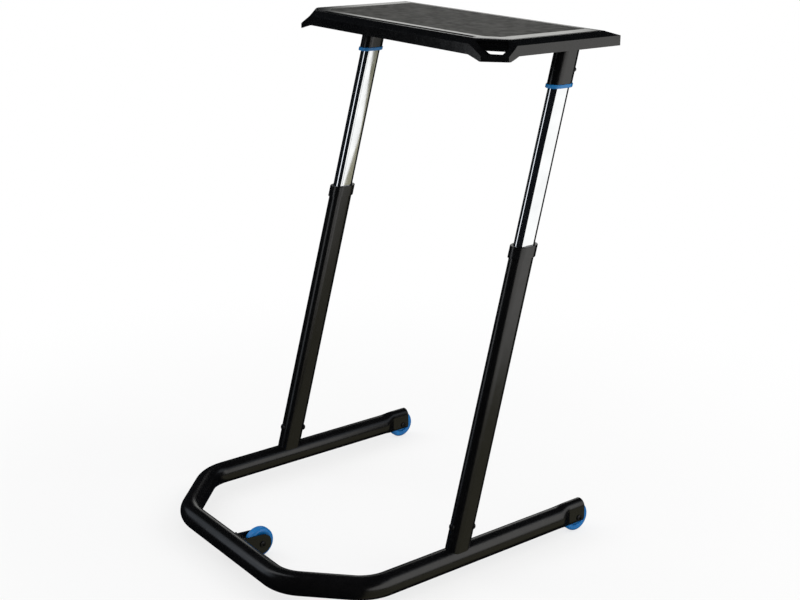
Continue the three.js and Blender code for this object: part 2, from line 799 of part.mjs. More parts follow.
// Release lever: a paddle for the fingers, a barrel on the pin, and an arm that reaches over the button
function releaseLever(pivot) {
  const low = leverLevel - leverThickness / 2;
  const high = leverLevel + leverThickness / 2;
  const barrelHalf = earGap / 2 - clearance;
  const armHalf = leverArmWidth / 2;
  const paddleHalf = leverWidth / 2;
  const neck = pivot.y - earLength / 2 - 2 * clearance;
  const paddleEnd = pivot.y - leverReach;
  const paddle = slab(roundedShape([
    [-paddleHalf, paddleEnd], [paddleHalf, paddleEnd], [paddleHalf, neck], [-paddleHalf, neck],
  ], leverCorner), low, high);
  const stem = block([-barrelHalf, neck - leverCorner, low], [barrelHalf, pivot.y, high]);
  const arm = block([-armHalf, pivot.y, low], [armHalf, legLine(buttonTop) + leverTip, high]);
  const barrel = bar(leverBarrel, -barrelHalf, barrelHalf, acrossAxis, pivot);
  const hole = bar(leverPinRadius + runningGap, -leverWidth, leverWidth, acrossAxis, pivot);
  return paddle.add(stem).add(arm).add(barrel).subtract(hole);
}

// Plate on top of a sleeve, with two ears for the release lever, drawn for the right side
function mountPlate() {
  const pivot = leverPivot();
  const frontEdge = pivot.y - earLength / 2 - plateFrontMargin;
  const rearEdge = legLine(plateTop) + legHalfLength / Math.cos(legRake);
  let plate = slab(roundedShape([
    [-plateInward, frontEdge], [plateOutward, frontEdge], [plateOutward, rearEdge], [-plateInward, rearEdge],
  ], plateCorner), plateBottom, plateTop);
  const earBase = plateBottom - earDrop;
  const lug = new THREE.Shape();
  lug.moveTo(pivot.y + earLength / 2, plateTop - clearance);
  lug.lineTo(pivot.y - earLength / 2, plateTop - clearance);
  lug.lineTo(pivot.y - earLength / 3, earBase);
  lug.lineTo(pivot.y + earLength / 3, earBase);
  lug.closePath();
  const earInner = earGap / 2;
  plate = plate.add(sidePlate(lug, earInner, earInner + earThickness));
  plate = plate.add(sidePlate(lug, -earInner - earThickness, -earInner));
  const hole = bar(leverPinRadius + clearance, -plateInward, plateInward, acrossAxis, pivot);
  return plate.subtract(hole);
}

// Steel rail between the two sleeves, under the board
function crossRail() {
  const end = railOffset - legHalfWidth - clearance;
  const low = sleeveTop - crossRailDepth;
  const middle = legLine((low + sleeveTop) / 2);
  const half = crossRailWidth / 2;
  const wall = crossRailWall;
  return block([-end, middle - half, low], [end, middle + half, sleeveTop]).subtract(block(
    [-end - overrun, middle - half + wall, low + wall],
    [end + overrun, middle + half - wall, sleeveTop - wall],
  ));
}

// The desk's outline, moved outwards by a distance, and at the rear by one of its own
function deskOutline(offset, rearOffset = offset) {
  const corners = [
    [-deskHalfWidth, deskRear], [-deskHalfWidth, deskFront + chamferDeep],
    [-deskHalfWidth + chamferAcross, deskFront], [deskHalfWidth - chamferAcross, deskFront],
    [deskHalfWidth, deskFront + chamferDeep], [deskHalfWidth, deskRear],
  ].map(([x, y]) => new THREE.Vector2(x, y));
  return corners.map((corner, i) => {
    const before = corners[(i + corners.length - 1) % corners.length];
    const after = corners[(i + 1) % corners.length];
    const arriving = corner.clone().sub(before).normalize();
    const leaving = after.clone().sub(corner).normalize();
    const first = new THREE.Vector2(arriving.y, -arriving.x);
    const second = new THREE.Vector2(leaving.y, -leaving.x);
    const mitre = first.clone().add(second).divideScalar(1 + first.dot(second));
    const backwards = corner.y === deskRear ? rearOffset : offset;
    return [corner.x + mitre.x * offset, corner.y + mitre.y * backwards];
  });
}

// The right front corner: where its chamfer starts, the chamfer's direction and its outward side
const chamferLength = Math.hypot(chamferAcross, chamferDeep);
const chamferStart = new THREE.Vector3(deskHalfWidth - chamferAcross, deskFront, deskHeight);
const chamferAlong = new THREE.Vector3(chamferAcross, chamferDeep, 0).divideScalar(chamferLength);
const chamferOut = new THREE.Vector3(chamferDeep, -chamferAcross, 0).divideScalar(chamferLength);
const down = new THREE.Vector3(0, 0, -1);
const up = new THREE.Vector3(0, 0, 1);

// A point by the right chamfer: distance along it, outwards from it and below the desk's top
function atChamfer(along, out, drop) {
  return chamferStart.clone()
    .addScaledVector(chamferAlong, along)
    .addScaledVector(chamferOut, out)
    .addScaledVector(down, drop);
}

// Faces of the skirt that the right corner shares: front, side, and the sloping band above each
function cornerFaces() {
  const slope = new THREE.Vector2(bandDrop - rimEdgeDrop, bandOut).normalize();
  const front = new THREE.Vector3(0, deskFront - bandOut, deskHeight - bandDrop);
  const side = new THREE.Vector3(deskHalfWidth + bandOut, 0, deskHeight - bandDrop);
  return [
    limit(new THREE.Vector3(0, -1, 0), front),
    limit(new THREE.Vector3(1, 0, 0), side),
    limit(new THREE.Vector3(0, -slope.x, slope.y), front),
    limit(new THREE.Vector3(slope.x, 0, slope.y), side),
  ];
}

// Copies of planes moved outwards by a distance, or inwards by a negative one
function moved(planes, distance) {
  return planes.map((plane) => new THREE.Plane(plane.normal, plane.constant - distance));
}

// Edge skirt: rim, sloping band, fascia and the ledge that carries the board, round the whole desk
function edgeSkirt() {
  const bandFall = (bandDrop - rimEdgeDrop) / bandOut;
  const bandThick = skirtWall * Math.hypot(1, bandFall);
  const underBand = (out) => -rimEdgeDrop - bandFall * out - bandThick;
  const inner = bandOut - skirtWall;
  const ledgeTop = -boardThickness - clearance;
  const ledgeBottom = ledgeTop - skirtWall;
  const rimInside = skirtWall - rimWidth;
  const rearInner = rearBandOut - skirtWall;
  const profile = [
    [-rimWidth, 0], [-rimEdge, 0], [0, -rimEdgeDrop], [bandOut, -bandDrop, rearBandOut],
    [bandOut, -skirtDepth, rearBandOut], [inner, -skirtDepth, rearInner],
    [inner, underBand(inner), rearInner], [rimInside, underBand(rimInside)],
    [rimInside, ledgeBottom], [-rimWidth - ledgeWidth, ledgeBottom],
    [-rimWidth - ledgeWidth, ledgeTop], [-rimWidth, ledgeTop],
  ];
  let skirt = loft(profile.map(([out, rise, rearOut = out]) => (
    deskOutline(out, rearOut).map(([x, y]) => [x, y, deskHeight + rise])
  )), true);

  const backWall = convexBody([
    limit(chamferOut, atChamfer(0, seamOffset, 0)),
    limit(chamferOut.clone().negate(), atChamfer(0, seamOffset - skirtWall, 0)),
    limit(up, atChamfer(0, 0, bandDrop)),
    limit(down, atChamfer(0, 0, chamferWallDepth)),
    ...moved(cornerFaces().slice(0, 2), -skirtWall / 2),
  ]);
  const beyondSeam = convexBody([
    limit(chamferOut.clone().negate(), atChamfer(0, seamOffset, 0)),
    limit(up, atChamfer(0, 0, -overrun)),
    limit(down, atChamfer(0, 0, gripDepth + overrun)),
    ...moved(cornerFaces().slice(0, 2), overrun),
  ]);
  const pivot = leverPivot();
  const notch = block(
    [railOffset - plateInward - clearance, pivot.y - leverReach - leverTip, deskHeight - skirtDepth],
    [railOffset + plateOutward + clearance,
      legLine(plateTop) + legHalfLength / Math.cos(legRake) + clearance, plateTop + clearance],
  );
  [backWall, mirrored(backWall)].forEach((wall) => {
    skirt = skirt.add(wall);
  });
  [beyondSeam, mirrored(beyondSeam), notch, mirrored(notch)].forEach((cutter) => {
    skirt = skirt.subtract(cutter);
  });
  return skirt;
}

// Loop grip at the right front corner: a thin shell with a hand hole through its sloping face
function cornerGrip() {
  const slopeOut = chamferOut.clone().applyAxisAngle(up, -gripSlopeTurn);
  const slopeNormal = slopeOut.clone().multiplyScalar(Math.sin(gripSlope));
  slopeNormal.z = Math.cos(gripSlope);
  const endOut = chamferOut.clone().applyAxisAngle(up, -gripEndTurn);
  const walls = [
    ...cornerFaces(),
    limit(slopeNormal, chamferStart.clone().addScaledVector(slopeOut, gripSlopeLead)),
    limit(endOut, chamferStart.clone().addScaledVector(endOut, gripReach)),
    limit(up, atChamfer(0, 0, rimEdgeDrop)),
  ];
  const openSides = [
    limit(chamferOut.clone().negate(), atChamfer(0, seamOffset + clearance, 0)),
    limit(down, atChamfer(0, 0, gripDepth)),
  ];
  const rootDrop = skirtDepth;
  const fall = new THREE.Vector2(gripDepth - rootDrop, gripLip - gripRoot).normalize();
  const underside = convexBody([
    limit(up, atChamfer(0, 0, rootDrop)),
    limit(chamferOut.clone().multiplyScalar(fall.x).setZ(fall.y), atChamfer(0, gripRoot, rootDrop)),
    limit(down, atChamfer(0, 0, gripDepth + overrun)),
    limit(chamferOut.clone().negate(), atChamfer(0, -overrun, 0)),
    limit(chamferAlong, atChamfer(chamferLength * 2, 0, 0)),
    limit(chamferAlong.clone().negate(), atChamfer(-chamferLength, 0, 0)),
  ]);
  const outline = roundedShape(
    handHoleShares.map(([along, drop]) => [along * chamferLength, -drop * gripDepth]), handHoleCorner,
  );
  const hole = new THREE.ExtrudeGeometry(outline, {
    depth: 2 * gripReach, bevelEnabled: false, curveSegments: filletSteps,
  });
  hole.translate(0, 0, -gripReach / 2);
  const facing = new THREE.Matrix4().makeBasis(chamferAlong, up, chamferOut);
  facing.setPosition(chamferStart);
  hole.applyMatrix4(facing);
  return convexBody([...walls, ...openSides])
    .subtract(convexBody([...moved(walls, -gripWall), ...moved(openSides, overrun)]))
    .subtract(underside)
    .subtract(solidOf(hole));
}

// Desk board, with a shallow recess for the mat and its front edge set back to leave a tablet groove
function deskBoard(mat) {
  const low = deskHeight - boardThickness;
  const outline = new THREE.Shape(
    deskOutline(-rimWidth - clearance).map(([x, y]) => new THREE.Vector2(x, y)),
  );
  const grooveHalf = deskHalfWidth - chamferAcross - grooveSideMargin;
  const grooveFront = deskFront + rimWidth;
  return slab(outline, low, deskHeight)
    .subtract(slab(mat, deskHeight - matRecess, deskHeight + overrun))
    .subtract(block(
      [-grooveHalf, grooveFront - overrun, low - overrun],
      [grooveHalf, grooveFront + grooveWidth, deskHeight + overrun],
    ));
}

// The mat's outline, drawn in by a distance from the edge of its recess
function matShape(inset) {
  const side = deskHalfWidth - matSideBorder - inset;
  const front = deskFront + matFrontBorder + inset;
  const rear = deskRear - matRearBorder - inset;
  return roundedShape([
    [side, rear], [-side, rear], [-side, front + matFrontDeep], [-side + matFrontAcross, front],
    [side - matFrontAcross, front], [side, front + matFrontDeep],
  ], matCorner);
}

// The whole desk, moved so that its origin is on the floor under the middle of its outline
const rearReach = Math.max(rearAxle + axleHeight, deskRear + rearBandOut);
const desk = new THREE.Group();
desk.position.y = (baseTubeRadius - rearReach) / 2;

piece(desk, 'base_tube', baseTube(), blackCoat);
piece(desk, 'front_fork', frontFork(), blackCoat);
desk.add(wheel('front_wheel', 0, frontAxleDistance, forkPlate));
desk.add(wheel('rear_wheel_left', -railOffset, rearAxle, baseTubeWall));
desk.add(wheel('rear_wheel_right', railOffset, rearAxle, baseTubeWall));

const legPieces = [...fixedLegPieces(), ...risingLegPieces()];
[['left', -railOffset], ['right', railOffset]].forEach(([side, x]) => {
  const leg = new THREE.Group();
  leg.position.x = x;
  legPieces.forEach(([name, solid, material]) => {
    piece(leg, `${name}_${side}`, solid, material);
  });
  const plate = mountPlate();
  piece(leg, `mount_plate_${side}`, x < 0 ? mirrored(plate) : plate, blackCoat);
  desk.add(leg);
});
piece(desk, 'cross_rail', crossRail(), blackCoat);

piece(desk, 'desk_board', deskBoard(matShape(0)), deskFinish);
const mat = slab(matShape(clearance), deskHeight - matRecess + clearance, deskHeight);
piece(desk, 'desk_mat', mat, matFinish);
piece(desk, 'edge_skirt', edgeSkirt(), blackPlastic);
piece(desk, 'corner_grip_right', cornerGrip(), blackPlastic);
piece(desk, 'corner_grip_left', mirrored(cornerGrip()), blackPlastic);

export default desk;
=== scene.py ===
import json
import math

import bmesh
import bpy
from mathutils import Matrix, Vector


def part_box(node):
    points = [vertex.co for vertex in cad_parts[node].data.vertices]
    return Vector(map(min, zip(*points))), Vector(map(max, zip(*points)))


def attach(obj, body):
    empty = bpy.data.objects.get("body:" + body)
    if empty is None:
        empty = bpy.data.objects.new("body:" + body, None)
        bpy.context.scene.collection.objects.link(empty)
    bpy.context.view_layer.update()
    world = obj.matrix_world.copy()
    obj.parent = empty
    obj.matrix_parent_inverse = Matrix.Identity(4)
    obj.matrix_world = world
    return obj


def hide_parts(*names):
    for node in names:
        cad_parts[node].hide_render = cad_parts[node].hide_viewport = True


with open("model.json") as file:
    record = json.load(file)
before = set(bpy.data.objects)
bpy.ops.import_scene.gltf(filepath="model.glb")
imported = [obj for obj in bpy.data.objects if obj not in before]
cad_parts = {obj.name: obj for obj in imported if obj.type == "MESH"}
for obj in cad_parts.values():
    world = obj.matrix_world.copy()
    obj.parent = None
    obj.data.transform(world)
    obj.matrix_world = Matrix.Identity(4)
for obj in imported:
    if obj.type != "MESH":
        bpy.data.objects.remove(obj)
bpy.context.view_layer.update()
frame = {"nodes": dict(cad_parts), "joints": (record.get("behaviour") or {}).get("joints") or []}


# Base tube. One length of round steel tube, bent four times into a U that is open to the rider.
# Each rail ends in a flattened, slotted and drilled stretch that straddles a rear wheel, and the
# whole tube is powder coated in satin black.

mm = 0.001
SIDES = {"left": -1, "right": 1}
WHEELS = ["front_wheel", "rear_wheel_left", "rear_wheel_right"]

TUBE_RADIUS = 26.5 * mm
TUBE_WALL = 2 * mm
TUBE_RISE = 11.37 * mm
BEND_RADIUS = 100 * mm
CORNER_CUT = 142 * mm
FLAT_END = 46 * mm
FLAT_TAPER = 34 * mm
FLAT_RADIUS = 17 * mm
TUBE_FACETS = 72
BEND_STEPS = 20
TAPER_STEPS = 14
SLOT_HALF = 13.5 * mm
SLOT_LEAD = 6 * mm
AXLE_HOLE = 4.15 * mm


def middle(node):
    low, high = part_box(node)
    return (Vector(low) + Vector(high)) / 2


AXLES = {name: middle(f"{name}_hub") for name in WHEELS}
RAIL_X = AXLES["rear_wheel_right"].x
AXLE_HEIGHT = AXLES["front_wheel"].z
TUBE_HEIGHT = AXLE_HEIGHT + TUBE_RISE
TUBE_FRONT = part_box("base_tube")[0][1] + TUBE_RADIUS
RAIL_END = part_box("base_tube")[1][1]
FLAT_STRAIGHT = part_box("base_tube")[1][2] - TUBE_HEIGHT - FLAT_RADIUS


def new_piece(name, mesh):
    piece = bpy.data.objects.new(name, mesh)
    bpy.context.scene.collection.objects.link(piece)
    return piece

def wire(name, path):
    """A line of edges through points."""
    mesh = bpy.data.meshes.new(name)
    mesh.from_pydata([tuple(point) for point in path], [(i, i + 1) for i in range(len(path) - 1)], [])
    return new_piece(name, mesh)


def settle(piece):
    """Makes a piece's modifiers part of its mesh."""
    graph = bpy.context.evaluated_depsgraph_get()
    mesh = bpy.data.meshes.new_from_object(piece.evaluated_get(graph))
    piece.modifiers.clear()
    piece.data = mesh
    return piece


def turn_outwards(mesh):
    shell = bmesh.new()
    shell.from_mesh(mesh)
    bmesh.ops.remove_doubles(shell, verts=shell.verts, dist=0.002 * mm)
    bmesh.ops.recalc_face_normals(shell, faces=shell.faces)
    shell.to_mesh(mesh)
    shell.free()


def skin(name, rings, hollow=False):
    """A closed skin through rings of points. A hollow one joins its last ring to its first."""
    count = len(rings[0])
    spans = len(rings) if hollow else len(rings) - 1
    faces = []
    for r in range(spans):
        here, there = r * count, (r + 1) % len(rings) * count
        for i in range(count):
            j = (i + 1) % count
            faces.append((here + i, here + j, there + j, there + i))
    if not hollow:
        faces += [tuple(range(count)), tuple(range((len(rings) - 1) * count, len(rings) * count))]
    mesh = bpy.data.meshes.new(name)
    mesh.from_pydata([tuple(point) for ring in rings for point in ring], [], faces)
    turn_outwards(mesh)
    return new_piece(name, mesh)


def block(low, high):
    rings = [[(low[0], low[1], z), (high[0], low[1], z), (high[0], high[1], z), (low[0], high[1], z)]
             for z in (low[2], high[2])]
    return skin("block", rings)


def turned(name, profile, centre, axis=(1, 0, 0), facets=48):
    """A profile of (radius, distance along) pairs turned about an axis, closed on itself or at poles."""
    facing = Vector((0, 0, 1)).rotation_difference(Vector(axis)).to_matrix()
    verts, rows = [], []
    for radius, along in profile:
        row = []
        for k in range(facets if radius > 0 else 1):
            angle = 2 * math.pi * k / facets
            spot = Vector((radius * math.cos(angle), radius * math.sin(angle), along))
            row.append(len(verts))
            verts.append(tuple(facing @ spot + Vector(centre)))
        rows.append(row)
    faces = []
    pairs = list(zip(rows, rows[1:]))
    if profile[0][0] > 0:
        pairs.append((rows[-1], rows[0]))
    for a, b in pairs:
        for k in range(facets):
            m = (k + 1) % facets
            if len(a) > 1 and len(b) > 1:
                faces.append((a[k], a[m], b[m], b[k]))
            elif len(a) > 1:
                faces.append((a[k], a[m], b[0]))
            elif len(b) > 1:
                faces.append((a[0], b[m], b[k]))
    mesh = bpy.data.meshes.new(name)
    mesh.from_pydata(verts, [], faces)
    turn_outwards(mesh)
    return new_piece(name, mesh)


def bar(radius, start, end, facets=48):
    """A plain round bar between two points, used to drill a hole."""
    start, end = Vector(start), Vector(end)
    length = (end - start).length
    return turned("bar", [(0, 0), (radius, 0), (radius, length), (0, length)], start, end - start, facets)


def combine(piece, other, how):
    tool = piece.modifiers.new("shape", "BOOLEAN")
    tool.operation, tool.solver, tool.object = how, "EXACT", other
    settle(piece)
    bpy.data.objects.remove(other)
    return piece


def carve(piece, *cutters):
    for cutter in cutters:
        combine(piece, cutter, "DIFFERENCE")
    return piece


def join(piece, *others):
    for other in others:
        combine(piece, other, "UNION")
    return piece


def ease_edges(piece, width, steps=2, angle=32, seam=None):
    """Rounds a piece's sharp edges by a small radius, apart from those that lie in its seam."""
    tool = piece.modifiers.new("edges", "BEVEL")
    tool.width, tool.segments = width, steps
    tool.limit_method, tool.angle_limit = "ANGLE", math.radians(angle)
    tool.miter_outer = "MITER_ARC"
    if seam:
        tool.limit_method = "WEIGHT"
        shape = bmesh.new()
        shape.from_mesh(piece.data)
        weight = shape.edges.layers.float.new("bevel_weight_edge")
        for edge in shape.edges:
            sharp = edge.calc_face_angle(0) > math.radians(angle)
            edge[weight] = float(sharp and not all(seam(vertex.co) for vertex in edge.verts))
        shape.to_mesh(piece.data)
        shape.free()
    return settle(piece)


def twin(piece, name):
    """The mirror image of a piece on the other side of the desk."""
    mesh = piece.data.copy()
    for corner in mesh.vertices:
        corner.co.x *= -1
    mesh.flip_normals()
    return new_piece(name, mesh)


def fit(piece, finish, body, nodes=(), smooth=35):
    """Gives a piece its finish and shading, and fixes it to the body that carries it."""
    mesh = piece.data
    mesh.materials.clear()
    mesh.materials.append(finish.material)
    mesh.polygons.foreach_set("material_index", [0] * len(mesh.polygons))
    mesh.shade_smooth()
    mesh.set_sharp_from_angle(angle=math.radians(smooth))
    flats = piece.modifiers.new("flats", "WEIGHTED_NORMAL")
    flats.keep_sharp = True
    settle(piece)
    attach(piece, body)
    if nodes:
        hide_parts(*nodes)
    return piece


class Graph:
    """A node tree, written as steps that each return their output socket."""

    def __init__(self, tree):
        self.tree = tree

    def step(self, kind, output=0, settings=None, **inputs):
        """Adds a node. Its inputs are values or sockets, called by name or, as in0 and in1, by place."""
        node = self.tree.nodes.new(kind)
        for key, value in (settings or {}).items():
            setattr(node, key, value)
        for key, value in inputs.items():
            index = int(key[2:]) if key.startswith("in") and key[2:].isdigit() else key.replace("_", " ")
            socket = node.inputs[index]
            if isinstance(value, bpy.types.NodeSocket):
                self.tree.links.new(value, socket)
            else:
                socket.default_value = value
        return node.outputs[output]

    def sum(self, how, *values):
        places = {f"in{i}": value for i, value in enumerate(values)}
        return self.step("ShaderNodeMath", 0, {"operation": how}, **places)

    def vector(self, how, *values):
        places = {f"in{i}": value for i, value in enumerate(values)}
        output = "Value" if how in ("DOT_PRODUCT", "LENGTH") else "Vector"
        return self.step("ShaderNodeVectorMath", output, {"operation": how}, **places)

    def spread(self, value, start, end, low=0.0, high=1.0, soft="LINEAR"):
        """Turns the range from start to end into the range from low to high."""
        return self.step(
            "ShaderNodeMapRange", "Result", {"interpolation_type": soft},
            Value=value, From_Min=start, From_Max=end, To_Min=low, To_Max=high,
        )

    def ramp(self, value, stops):
        """A colour ramp through stops of (position, colour)."""
        color = self.step("ShaderNodeValToRGB", "Color", Fac=value)
        elements = color.node.color_ramp.elements
        while len(elements) < len(stops):
            elements.new(0.5)
        for element, (position, shade) in zip(elements, stops):
            element.position = position
            element.color = (*shade, 1)
        return color

    def light_ramp(self, value, levels, place):
        """A ramp through levels of (height, light) that are scaled to 1 at most, and their strength."""
        strength = max(max(light) for _, light in levels)
        stops = [(place(height), [channel / strength for channel in light]) for height, light in levels]
        return self.ramp(value, stops), strength


class Surface(Graph):
    """A material's nodes, with the piece's own coordinates as their place."""

    def __init__(self, name):
        self.material = bpy.data.materials.new(name)
        self.material.use_nodes = True
        super().__init__(self.material.node_tree)
        self.shader = self.tree.nodes["Principled BSDF"]
        self.place = self.step("ShaderNodeTexCoord", "Object")

    def show(self, shader):
        self.tree.links.new(shader, self.tree.nodes["Material Output"].inputs["Surface"])


class Finish(Surface):
    """A surface whose colour, gloss and height follow noise of a given scale and detail."""

    def __init__(self, name, slot, roughness, metallic=0.0):
        super().__init__(name)
        self.slot = slot
        self.shader.inputs["Roughness"].default_value = roughness
        self.shader.inputs["Metallic"].default_value = metallic
        self.normal = None

    def noise(self, scale, detail=3.0, stretch=None):
        place = self.place
        if stretch:
            place = self.step("ShaderNodeMapping", Vector=place, Scale=stretch)
        return self.step("ShaderNodeTexNoise", "Fac", Vector=place, Scale=scale, Detail=detail)

    def tint(self, scale, dark, light):
        self.color(self.noise(scale), [(0.3, dark), (0.7, light)])

    def color(self, value, stops):
        self.tree.links.new(self.ramp(value, stops), self.shader.inputs["Base Color"])

    def gloss(self, scale, low, high, detail=4.0):
        rough = self.spread(self.noise(scale, detail), 0.3, 0.7, low, high)
        self.tree.links.new(rough, self.shader.inputs["Roughness"])

    def bump(self, scale, depth, strength, detail=3.0, stretch=None):
        self.raise_by(self.noise(scale, detail, stretch), depth, strength)

    def grain(self, scale, depth, strength):
        """A fine cell pattern pressed into the surface."""
        cells = self.step("ShaderNodeTexVoronoi", "Distance", Vector=self.place, Scale=scale)
        self.raise_by(cells, depth, strength)

    def raise_by(self, value, depth, strength):
        """Adds a height to the surface, over any that it has."""
        below = {"Normal": self.normal} if self.normal else {}
        self.normal = self.step(
            "ShaderNodeBump", "Normal", Height=value, Distance=depth, Strength=strength, **below,
        )
        self.tree.links.new(self.normal, self.shader.inputs["Normal"])


POWDER_COAT = Finish("powder_coat", "black_coat", 0.22)
POWDER_COAT.tint(14, (0.0012, 0.0012, 0.0014), (0.0022, 0.0022, 0.0025))
POWDER_COAT.gloss(60, 0.19, 0.27)
POWDER_COAT.bump(900, 0.03 * mm, 0.4, 2)
POWDER_COAT.bump(170, 0.05 * mm, 0.25, 2)


class Tree(Graph):
    """A Geometry Nodes tree with named inputs, which makes a piece."""

    def __init__(self, name, inputs):
        super().__init__(bpy.data.node_groups.new(name, "GeometryNodeTree"))
        face = self.tree.interface
        face.new_socket("Geometry", in_out="INPUT", socket_type="NodeSocketGeometry")
        self.values = {}
        for label, value in inputs.items():
            kind = "Int" if isinstance(value, int) else "Float" if isinstance(value, float) else "Object"
            socket = face.new_socket(label, in_out="INPUT", socket_type=f"NodeSocket{kind}")
            self.values[socket.identifier] = value
        face.new_socket("Geometry", in_out="OUTPUT", socket_type="NodeSocketGeometry")
        self.given = self.tree.nodes.new("NodeGroupInput").outputs

    def grow(self, piece, geometry, finish=POWDER_COAT):
        """Ends the tree, lets it make the piece, and leaves the result as a plain mesh."""
        solid = self.step("GeometryNodeRealizeInstances", Geometry=geometry)
        dressed = self.step("GeometryNodeSetMaterial", Geometry=solid, Material=finish.material)
        self.tree.links.new(dressed, self.tree.nodes.new("NodeGroupOutput").inputs[0])
        tool = piece.modifiers.new("growth", "NODES")
        tool.node_group = self.tree
        for identifier, value in self.values.items():
            tool[identifier] = value
        return settle(piece)


def bend_tube():
    """The U of tube as one open skin, with its rail ends pressed flat towards the wheels."""
    flat_start = RAIL_END - FLAT_END
    path = [(RAIL_X, RAIL_END)]
    path += [(RAIL_X, flat_start - FLAT_TAPER * step / TAPER_STEPS) for step in range(TAPER_STEPS + 1)]
    path += [(RAIL_X, TUBE_FRONT + CORNER_CUT), (RAIL_X - CORNER_CUT, TUBE_FRONT)]
    path += [(-x, y) for x, y in reversed(path)]
    piece = wire("base_tube_body", [(x, y, TUBE_HEIGHT) for x, y in path])

    tree = Tree("bent_tube", {
        "Tube Radius": TUBE_RADIUS,
        "Bend Radius": BEND_RADIUS,
        "Bend Steps": BEND_STEPS,
        "Facets": TUBE_FACETS,
        "Rail Offset": RAIL_X,
        "Tube Height": TUBE_HEIGHT,
        "Flat Start": flat_start,
        "Taper": FLAT_TAPER,
        "Flat Radius": FLAT_RADIUS,
        "Flat Straight": FLAT_STRAIGHT,
    })
    given = tree.given
    curve = tree.step("GeometryNodeMeshToCurve", Mesh=given["Geometry"])
    curve = tree.step(
        "GeometryNodeFilletCurve", settings={"mode": "POLY"}, Curve=curve,
        Count=given["Bend Steps"], Radius=given["Bend Radius"],
    )
    ring = tree.step(
        "GeometryNodeCurvePrimitiveCircle", Resolution=given["Facets"], Radius=given["Tube Radius"],
    )
    tube = tree.step("GeometryNodeCurveToMesh", Curve=curve, Profile_Curve=ring)

    place = tree.step("GeometryNodeInputPosition")
    x, y, z = tree.step("ShaderNodeSeparateXYZ", in0=place).node.outputs
    taper_start = tree.sum("SUBTRACT", given["Flat Start"], given["Taper"])
    flat = tree.spread(y, taper_start, given["Flat Start"], soft="SMOOTHSTEP")
    narrow = tree.sum("DIVIDE", given["Flat Radius"], given["Tube Radius"])
    keep = tree.sum("ADD", tree.sum("MULTIPLY", flat, tree.sum("SUBTRACT", narrow, 1.0)), 1.0)
    rail = tree.sum("MULTIPLY", tree.sum("SIGN", x), given["Rail Offset"])
    across = tree.sum("MULTIPLY", tree.sum("SUBTRACT", x, rail), keep)
    rise = tree.sum("SUBTRACT", z, given["Tube Height"])
    lift = tree.sum("MULTIPLY", tree.sum("MULTIPLY", tree.sum("SIGN", rise), given["Flat Straight"]), flat)
    height = tree.sum("ADD", tree.sum("ADD", tree.sum("MULTIPLY", rise, keep), lift), given["Tube Height"])
    pressed = tree.step("ShaderNodeCombineXYZ", in0=tree.sum("ADD", rail, across), in1=y, in2=height)
    at_rail = tree.step(
        "FunctionNodeCompare", settings={"data_type": "FLOAT", "operation": "GREATER_THAN"},
        in0=y, in1=taper_start,
    )
    tube = tree.step("GeometryNodeSetPosition", Geometry=tube, Selection=at_rail, Position=pressed)
    return tree.grow(piece, tube)


def make_base_tube():
    tube = bend_tube()
    turn_outwards(tube.data)
    wall = tube.modifiers.new("wall", "SOLIDIFY")
    wall.thickness, wall.offset, wall.use_even_offset = TUBE_WALL, -1, True
    settle(tube)
    turn_outwards(tube.data)
    for sign in SIDES.values():
        axle = AXLES["rear_wheel_right"]
        x = sign * RAIL_X
        slot = block(
            (x - SLOT_HALF, axle.y - AXLE_HEIGHT - SLOT_LEAD, -TUBE_RADIUS),
            (x + SLOT_HALF, RAIL_END + TUBE_RADIUS, TUBE_HEIGHT),
        )
        hole = bar(AXLE_HOLE, (x - TUBE_RADIUS, axle.y, axle.z), (x + TUBE_RADIUS, axle.y, axle.z))
        carve(tube, slot, hole)
    ease_edges(tube, 0.5 * mm, 2, 40)
    return fit(tube, POWDER_COAT, "base", ["base_tube"])


make_base_tube()


# Front fork. Two pressed steel cheeks and a web, welded to the back of the cross tube, that carry
# the front wheel between them. It has the same black powder coat as the tube.

FORK_GAP_HALF = 15 * mm
FORK_PLATE = 3 * mm
FORK_END_RADIUS = 24 * mm
FORK_END_STEPS = 32
FORK_TOP = math.radians(45)
FORK_LOW = math.radians(32.4)
FORK_WEB = 3.5 * mm
WHEEL_ROOM = 3.4 * mm
SEAM = 0.3 * mm


def side_plate(name, outline, start, end):
    """An outline of (y, z) points given a width across the desk."""
    return skin(name, [[(x, y, z) for y, z in outline] for x in (start, end)])


def tube_space(start, end):
    return bar(TUBE_RADIUS + SEAM, start, end, TUBE_FACETS)


